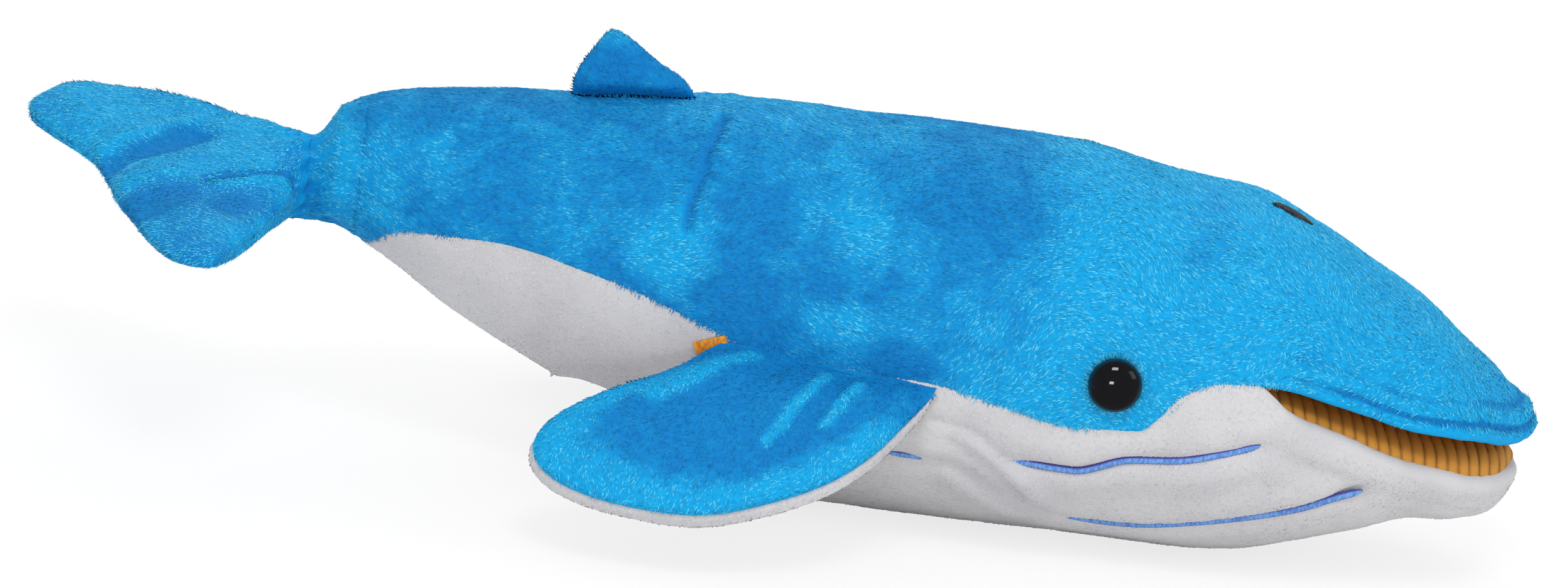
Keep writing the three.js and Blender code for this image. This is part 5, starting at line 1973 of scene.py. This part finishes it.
tie(pads["finRight"][0], "dorsal_fin", "velour", "dorsal_fin_right_side", "dorsal_fin_stuffing")
tie(pads["finLeft"][0], "dorsal_fin", "velour", "dorsal_fin_left_side")
tie(handHem, "trunk", "lining", "hand_opening_hem")
tie(handSleeve, "trunk", "lining", "hand_sleeve")
tie(seamRibbon, "trunk", "ribbon", "seam_tab")
tie(pockets[0], "upper_jaw", "lining", "finger_pocket")
tie(pockets[1], "lower_jaw", "lining", "thumb_pocket")
tie(palates[0], "upper_jaw", "corduroy", "upper_palate", "upper_palate_pad")
tie(palates[1], "lower_jaw", "corduroy", "lower_palate", "lower_palate_pad")
tie(mouthLining, "trunk", "corduroy")
tie(tailCuff, "cuff", "velour", "waist_gather")
tie(cuffPile, "cuff", "velour")
tie(tailFlukes, "flukes", "velour", "flukes_top", "flukes_under", "flukes_stuffing")
tie(flukesPile, "flukes", "velour")
print("pieces tied to their bodies")

# Stage: a white floor that keeps the shadow, soft lamps and the camera
studio = {
    "floorHalf": 6.0,
    # just under the lowest pile
    "floorHeight": -0.3,
    "floorShade": 0.94,
    "seenWhite": 0.78,
    "world": 0.85,
    # what glossy things reflect of the room, so that they stay dark but for the lamps
    "reflected": 0.2,
    "lamps": [
        # name, place, what it lights, size across, size up, power
        ("keyLamp", (-0.1, -0.85, 1.15), (0, 0, 0.05), 0.44, 0.36, 6.0),
        ("frontLamp", (1.1, -0.5, 0.7), (0.03, 0, 0.05), 0.6, 0.6, 1.3),
        ("lowLamp", (-0.1, -0.9, 0.07), (0, 0, 0.05), 0.16, 0.1, 0.8),
        ("rimLamp", (0.1, 0.9, 1.1), (0, 0, 0.05), 0.9, 0.6, 3.6),
    ],
    "aimRight": -0.0712,
    "aimUp": 0.0447,
    "distance": 1.4,
    "azimuth": -8.0,
    "elevation": 17.0,
    "roll": 8.8,
    "lens": 128.0,
    "sensor": 36.0,
}


def seenDirectly(tree, path):
    # one for what the camera sees, also through something clear
    return mathNode(tree, "ADD", path.outputs["Is Camera Ray"], path.outputs["Is Transmission Ray"],
                    clamp=True)


def buildFloor():
    # a flat square that takes the shadow, and glows so that the camera sees it white
    half, height = studio["floorHalf"] * 1000, studio["floorHeight"]
    points = [(-half, -half, height), (half, -half, height), (half, half, height), (-half, half, height)]
    shade = (studio["floorShade"],) * 3 + (1,)
    material, tree, shader = newMaterial(
        "floorWhite", {"colour": shade, "roughness": 0.95, "specular": 0.0}
    )
    path = addNode(tree, "ShaderNodeLightPath")
    glow = addNode(tree, "ShaderNodeEmission")
    mix = addNode(tree, "ShaderNodeMixShader")
    glossy = path.outputs["Is Glossy Ray"]
    seen = mathNode(tree, "MULTIPLY", seenDirectly(tree, path), studio["seenWhite"])
    connect(tree, mathNode(tree, "ADD", seen, glossy, clamp=True), mix.inputs[0])
    dim = mathNode(tree, "MULTIPLY", glossy, 1 - studio["reflected"])
    connect(tree, mathNode(tree, "SUBTRACT", 1.0, dim), glow.inputs["Strength"])
    connect(tree, shader.outputs[0], mix.inputs[1])
    connect(tree, glow.outputs[0], mix.inputs[2])
    output = next(n for n in tree.nodes if n.type == "OUTPUT_MATERIAL")
    connect(tree, mix.outputs[0], output.inputs["Surface"])
    makePiece("studioFloor", points, [[0, 1, 2, 3]], material)


def buildWorld():
    # white to the camera, softer as a light, and dim in what glossy things reflect
    world = bpy.data.worlds.new("studioWorld")
    bpy.context.scene.world = world
    world.use_nodes = True
    tree = world.node_tree
    tree.nodes.clear()
    soft, white = (addNode(tree, "ShaderNodeBackground") for k in range(2))
    for light in (soft, white):
        light.inputs["Color"].default_value = (1, 1, 1, 1)
    path = addNode(tree, "ShaderNodeLightPath")
    dim = mathNode(tree, "MULTIPLY", path.outputs["Is Glossy Ray"], studio["world"] - studio["reflected"])
    connect(tree, mathNode(tree, "SUBTRACT", studio["world"], dim), soft.inputs["Strength"])
    mix = addNode(tree, "ShaderNodeMixShader")
    output = addNode(tree, "ShaderNodeOutputWorld")
    connect(tree, seenDirectly(tree, path), mix.inputs[0])
    connect(tree, soft.outputs[0], mix.inputs[1])
    connect(tree, white.outputs[0], mix.inputs[2])
    connect(tree, mix.outputs[0], output.inputs["Surface"])


def buildLamps():
    for name, place, aim, wide, high, power in studio["lamps"]:
        data = bpy.data.lights.new(name, "AREA")
        data.shape = "RECTANGLE"
        data.size = wide
        data.size_y = high
        data.energy = power
        lamp = bpy.data.objects.new(name, data)
        lamp.location = place
        lamp.rotation_euler = (Vector(aim) - Vector(place)).to_track_quat("-Z", "Y").to_euler()
        bpy.context.scene.collection.objects.link(lamp)


def buildCamera():
    # looks from the distance along the azimuth and elevation, aimed aside and rolled
    turn, tilt, roll = (math.radians(studio[k]) for k in ("azimuth", "elevation", "roll"))
    right = Vector((math.cos(turn), math.sin(turn), 0))
    up = Vector((-math.sin(turn) * math.sin(tilt), math.cos(turn) * math.sin(tilt), math.cos(tilt)))
    ahead = Vector((-math.sin(turn) * math.cos(tilt), math.cos(turn) * math.cos(tilt), -math.sin(tilt)))
    place = -studio["distance"] * ahead
    aim = (studio["distance"] * ahead + studio["aimRight"] * right + studio["aimUp"] * up).normalized()
    level = math.cos(roll) * right + math.sin(roll) * up
    level = (level - level.dot(aim) * aim).normalized()
    top = (-aim).cross(level)
    data = bpy.data.cameras.new("photoCamera")
    data.lens = studio["lens"]
    data.sensor_width = studio["sensor"]
    camera = bpy.data.objects.new("photoCamera", data)
    camera.matrix_world = Matrix.Translation(place) @ Matrix((level, top, -aim)).transposed().to_4x4()
    bpy.context.scene.collection.objects.link(camera)
    bpy.context.scene.camera = camera


buildFloor()
buildWorld()
buildLamps()
buildCamera()
bpy.context.scene.view_settings.view_transform = "Standard"
print("stage set")
